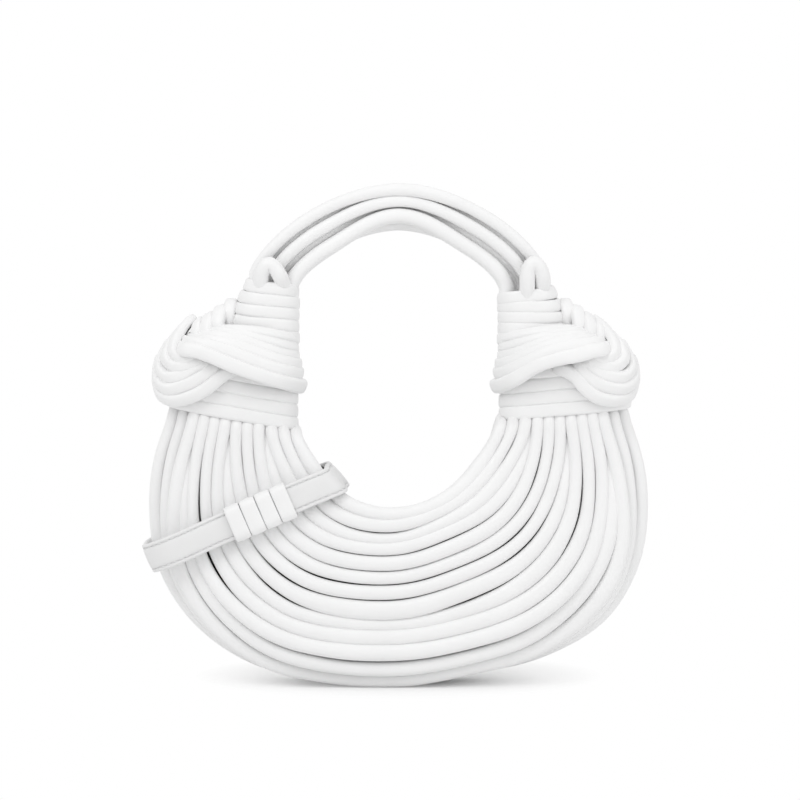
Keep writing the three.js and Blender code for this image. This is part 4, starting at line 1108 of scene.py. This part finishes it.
def pouch():
    """The outer and the inner skin, joined by a hem round the mouth and the end seams."""
    outside, inside = pouch_skin(0.0), pouch_skin(LINING_CLOTH)
    rows, columns = outside.shape[:2]
    other = rows * columns
    faces = []
    for row in range(rows - 1):
        for a in range(row * columns, (row + 1) * columns - 1):
            face = (a, a + 1, a + columns + 1, a + columns)
            faces += [face, tuple(other + face[corner] for corner in (0, 3, 2, 1))]
    grid = np.arange(other).reshape(rows, columns)
    rim = np.concatenate([grid[:-1, 0], grid[-1, :-1], grid[:0:-1, -1], grid[0, :0:-1]]).tolist()
    faces += [(a, b, other + b, other + a) for a, b in zip(rim, rim[1:] + rim[:1])]
    return np.vstack([outside.reshape(-1, 3), inside.reshape(-1, 3)]), faces


lining = new_piece("lining_twill_painted_shade", pouch(), lining_twill_painted_shade)
hang_on(lining, "bag", "lining_cloth", "lining")
print("lining:", len(lining.data.vertices), "points")

# %% The snap
SNAP_SIDES, SNAP_BELOW_MOUTH, PINPOINT = 40, 12.0, 0.05
# Radius and height of the two halves: a rolled rim, a dished face, and a hollow or a nub.
SNAP_RIM = ((PINPOINT, 0), (6.6, 0), (7, 0.4), (7, 1.5), (6.7, 1.9), (6.2, 2), (5.6, 1.75))
SOCKET = SNAP_RIM + ((3.6, 1.65), (3.1, 1.85), (2.6, 1.75), (2.5, 1), (PINPOINT, 0.9))
STUD = SNAP_RIM + ((3.2, 1.65), (2.6, 2), (2.4, 2.7), (1.9, 3), (PINPOINT, 3))


def snap_half(profile, face):
    """One half of the snap, turned about its middle, on the inside of the lining."""
    middle = np.array([1.0])
    half_depth, _, mouth = lining_room(middle)
    back = half_depth[0] - LINING_CLOTH
    height = section_point(1, middle, mouth, 0.0)[0, 2] - SNAP_BELOW_MOUTH
    turn = np.arange(SNAP_SIDES) * math.tau / SNAP_SIDES
    radius, rise = np.array(profile).T
    rings = np.stack([np.outer(radius, np.cos(turn)), np.outer(face * (back - rise), np.ones(SNAP_SIDES)),
                      height + np.outer(radius, np.sin(turn))], axis=2)
    faces = ring_faces(len(profile), SNAP_SIDES)
    return rings.reshape(-1, 3), [loop[::-1] for loop in faces] if face > 0 else faces


for snap_name, profile, face in (("snap_socket", SOCKET, -1), ("snap_stud", STUD, 1)):
    snap = new_piece(f"{snap_name}_nickel", snap_half(profile, face), snap_nickel)
    hang_on(snap, "bag", "snap_metal", snap_name)
print("snap halves: 2")

# %% [markdown]
# ## Floor, light and camera
#
# The photograph is a white studio shot: light comes from everywhere, so only the gaps and undersides
# go grey. A white world gives that, and two large soft lamps give the cords their slow highlights.
# The floor is white where the camera sees it, and keeps part of the shadow.

# %% Floor and world
FLOOR_HALF, FLOOR_BELOW = 3.0, 0.0002
SHADOW_SHARE, SHADOW_NEAR, SHADOW_FAR = 0.95, 0.02, 0.052
# The shadow lies under the bag and a little behind it, and is wider than it is deep.
SHADOW_SCALE, SHADOW_PLACE = (0.5, 0.6, 0.0), (0.0, -0.018, 0.0)
WORLD_LIGHT, WHITE = 0.74, (1, 1, 1, 1)
corners = [(x * FLOOR_HALF, y * FLOOR_HALF, 0) for x, y in ((-1, -1), (1, -1), (1, 1), (-1, 1))]
floor_mesh = bpy.data.meshes.new("studio_floor")
floor_mesh.from_pydata(corners, [], [(0, 1, 2, 3)])
studio_floor = bpy.data.objects.new("studio_floor", floor_mesh)
studio_floor.location.z = -FLOOR_BELOW
bpy.context.scene.collection.objects.link(studio_floor)


def seen(tree):
    """A factor that is 1 for rays from the camera, glossy and transmitted ones too, and 0 for others."""
    path = add_node(tree, "LightPath", {}, {})
    either = add_node(tree, "Math", {"operation": "MAXIMUM"},
                      {0: path.outputs["Is Camera Ray"], 1: path.outputs["Is Glossy Ray"]})
    return add_node(tree, "Math", {"operation": "MAXIMUM"},
                    {0: either.outputs[0], 1: path.outputs["Is Transmission Ray"]}).outputs[0]


paper, tree, place, matt = new_finish("white_studio_paper")
set_up(tree, matt, {"Base Color": to_linear("F7F7F7"), "Roughness": 0.9}, {})
glow = add_node(tree, "Emission", {"Strength": 1.0}, {})
# Near the bag the paper keeps its shadow. Further off it fades to the white of the background.
flat_spot = add_node(tree, "VectorMath", {"operation": "MULTIPLY_ADD", 1: SHADOW_SCALE, 2: SHADOW_PLACE},
                     {0: place})
distance = add_node(tree, "VectorMath", {"operation": "LENGTH"}, {0: flat_spot.outputs["Vector"]})
white = add_node(
    tree, "MapRange", {"From Min": SHADOW_NEAR, "From Max": SHADOW_FAR, "To Min": 1 - SHADOW_SHARE},
    {"Value": distance.outputs["Value"]})
share = add_node(tree, "Math", {"operation": "MULTIPLY"}, {0: seen(tree), 1: white.outputs["Result"]})
blend = add_node(tree, "MixShader", {}, {0: share.outputs[0], 1: matt.outputs[0], 2: glow.outputs[0]})
set_up(tree, tree.nodes["Material Output"], {}, {"Surface": blend.outputs[0]})
floor_mesh.materials.append(paper)

world = bpy.data.worlds.new("white_tent")
bpy.context.scene.world = world
world.use_nodes = True
tree = world.node_tree
tent = set_up(tree, tree.nodes["Background"], {"Strength": WORLD_LIGHT, "Color": WHITE}, {})
backdrop = add_node(tree, "Background", {"Strength": 1.0, "Color": WHITE}, {})
blend = add_node(tree, "MixShader", {}, {0: seen(tree), 1: tent.outputs[0], 2: backdrop.outputs[0]})
set_up(tree, tree.nodes["World Output"], {}, {"Surface": blend.outputs[0]})
print("floor and world: white, shadow share", SHADOW_SHARE)

# %% Lamps
AIM = Vector((0.0, 0.0, 0.12))


def soft_lamp(name, place, size, watts):
    """A large square lamp that points at the bag."""
    lamp = bpy.data.lights.new(name, "AREA")
    lamp.shape = "SQUARE"
    lamp.size = size
    lamp.energy = watts
    holder = bpy.data.objects.new(name, lamp)
    holder.location = place
    holder.rotation_euler = (AIM - Vector(place)).to_track_quat("-Z", "Y").to_euler()
    bpy.context.scene.collection.objects.link(holder)


soft_lamp("key_softbox", (-0.7, -1.1, 1.3), 0.9, 6.7)
soft_lamp("fill_softbox", (1.1, -0.9, 0.8), 0.9, 3.1)
soft_lamp("top_softbox", (0.0, 0.0, 1.8), 1.2, 1.7)
print("lamps: 3")

# %% Camera
FRAME_PIXELS, PIXEL_MM = 800, 0.5
BAG_CENTRE_PIXEL, FLOOR_PIXEL = 398.5, 684.0
CAMERA_DISTANCE, CAMERA_ELEVATION, SENSOR_WIDTH = 1.7, math.radians(3.0), 36.0
aim = Vector(((FRAME_PIXELS / 2 - BAG_CENTRE_PIXEL) * PIXEL_MM * MM, 0.0,
              (FLOOR_PIXEL - FRAME_PIXELS / 2) * PIXEL_MM * MM))
camera_data = bpy.data.cameras.new("camera")
camera_data.sensor_width = SENSOR_WIDTH
camera_data.lens = SENSOR_WIDTH * CAMERA_DISTANCE / (FRAME_PIXELS * PIXEL_MM * MM)
camera = bpy.data.objects.new("camera", camera_data)
back = Vector((0.0, -math.cos(CAMERA_ELEVATION), math.sin(CAMERA_ELEVATION)))
camera.location = aim + back * CAMERA_DISTANCE
camera.rotation_euler = (-back).to_track_quat("-Z", "Y").to_euler()
bpy.context.scene.collection.objects.link(camera)
bpy.context.scene.camera = camera
bpy.context.scene.view_settings.view_transform = "Standard"
print("lens:", round(camera_data.lens), "mm")
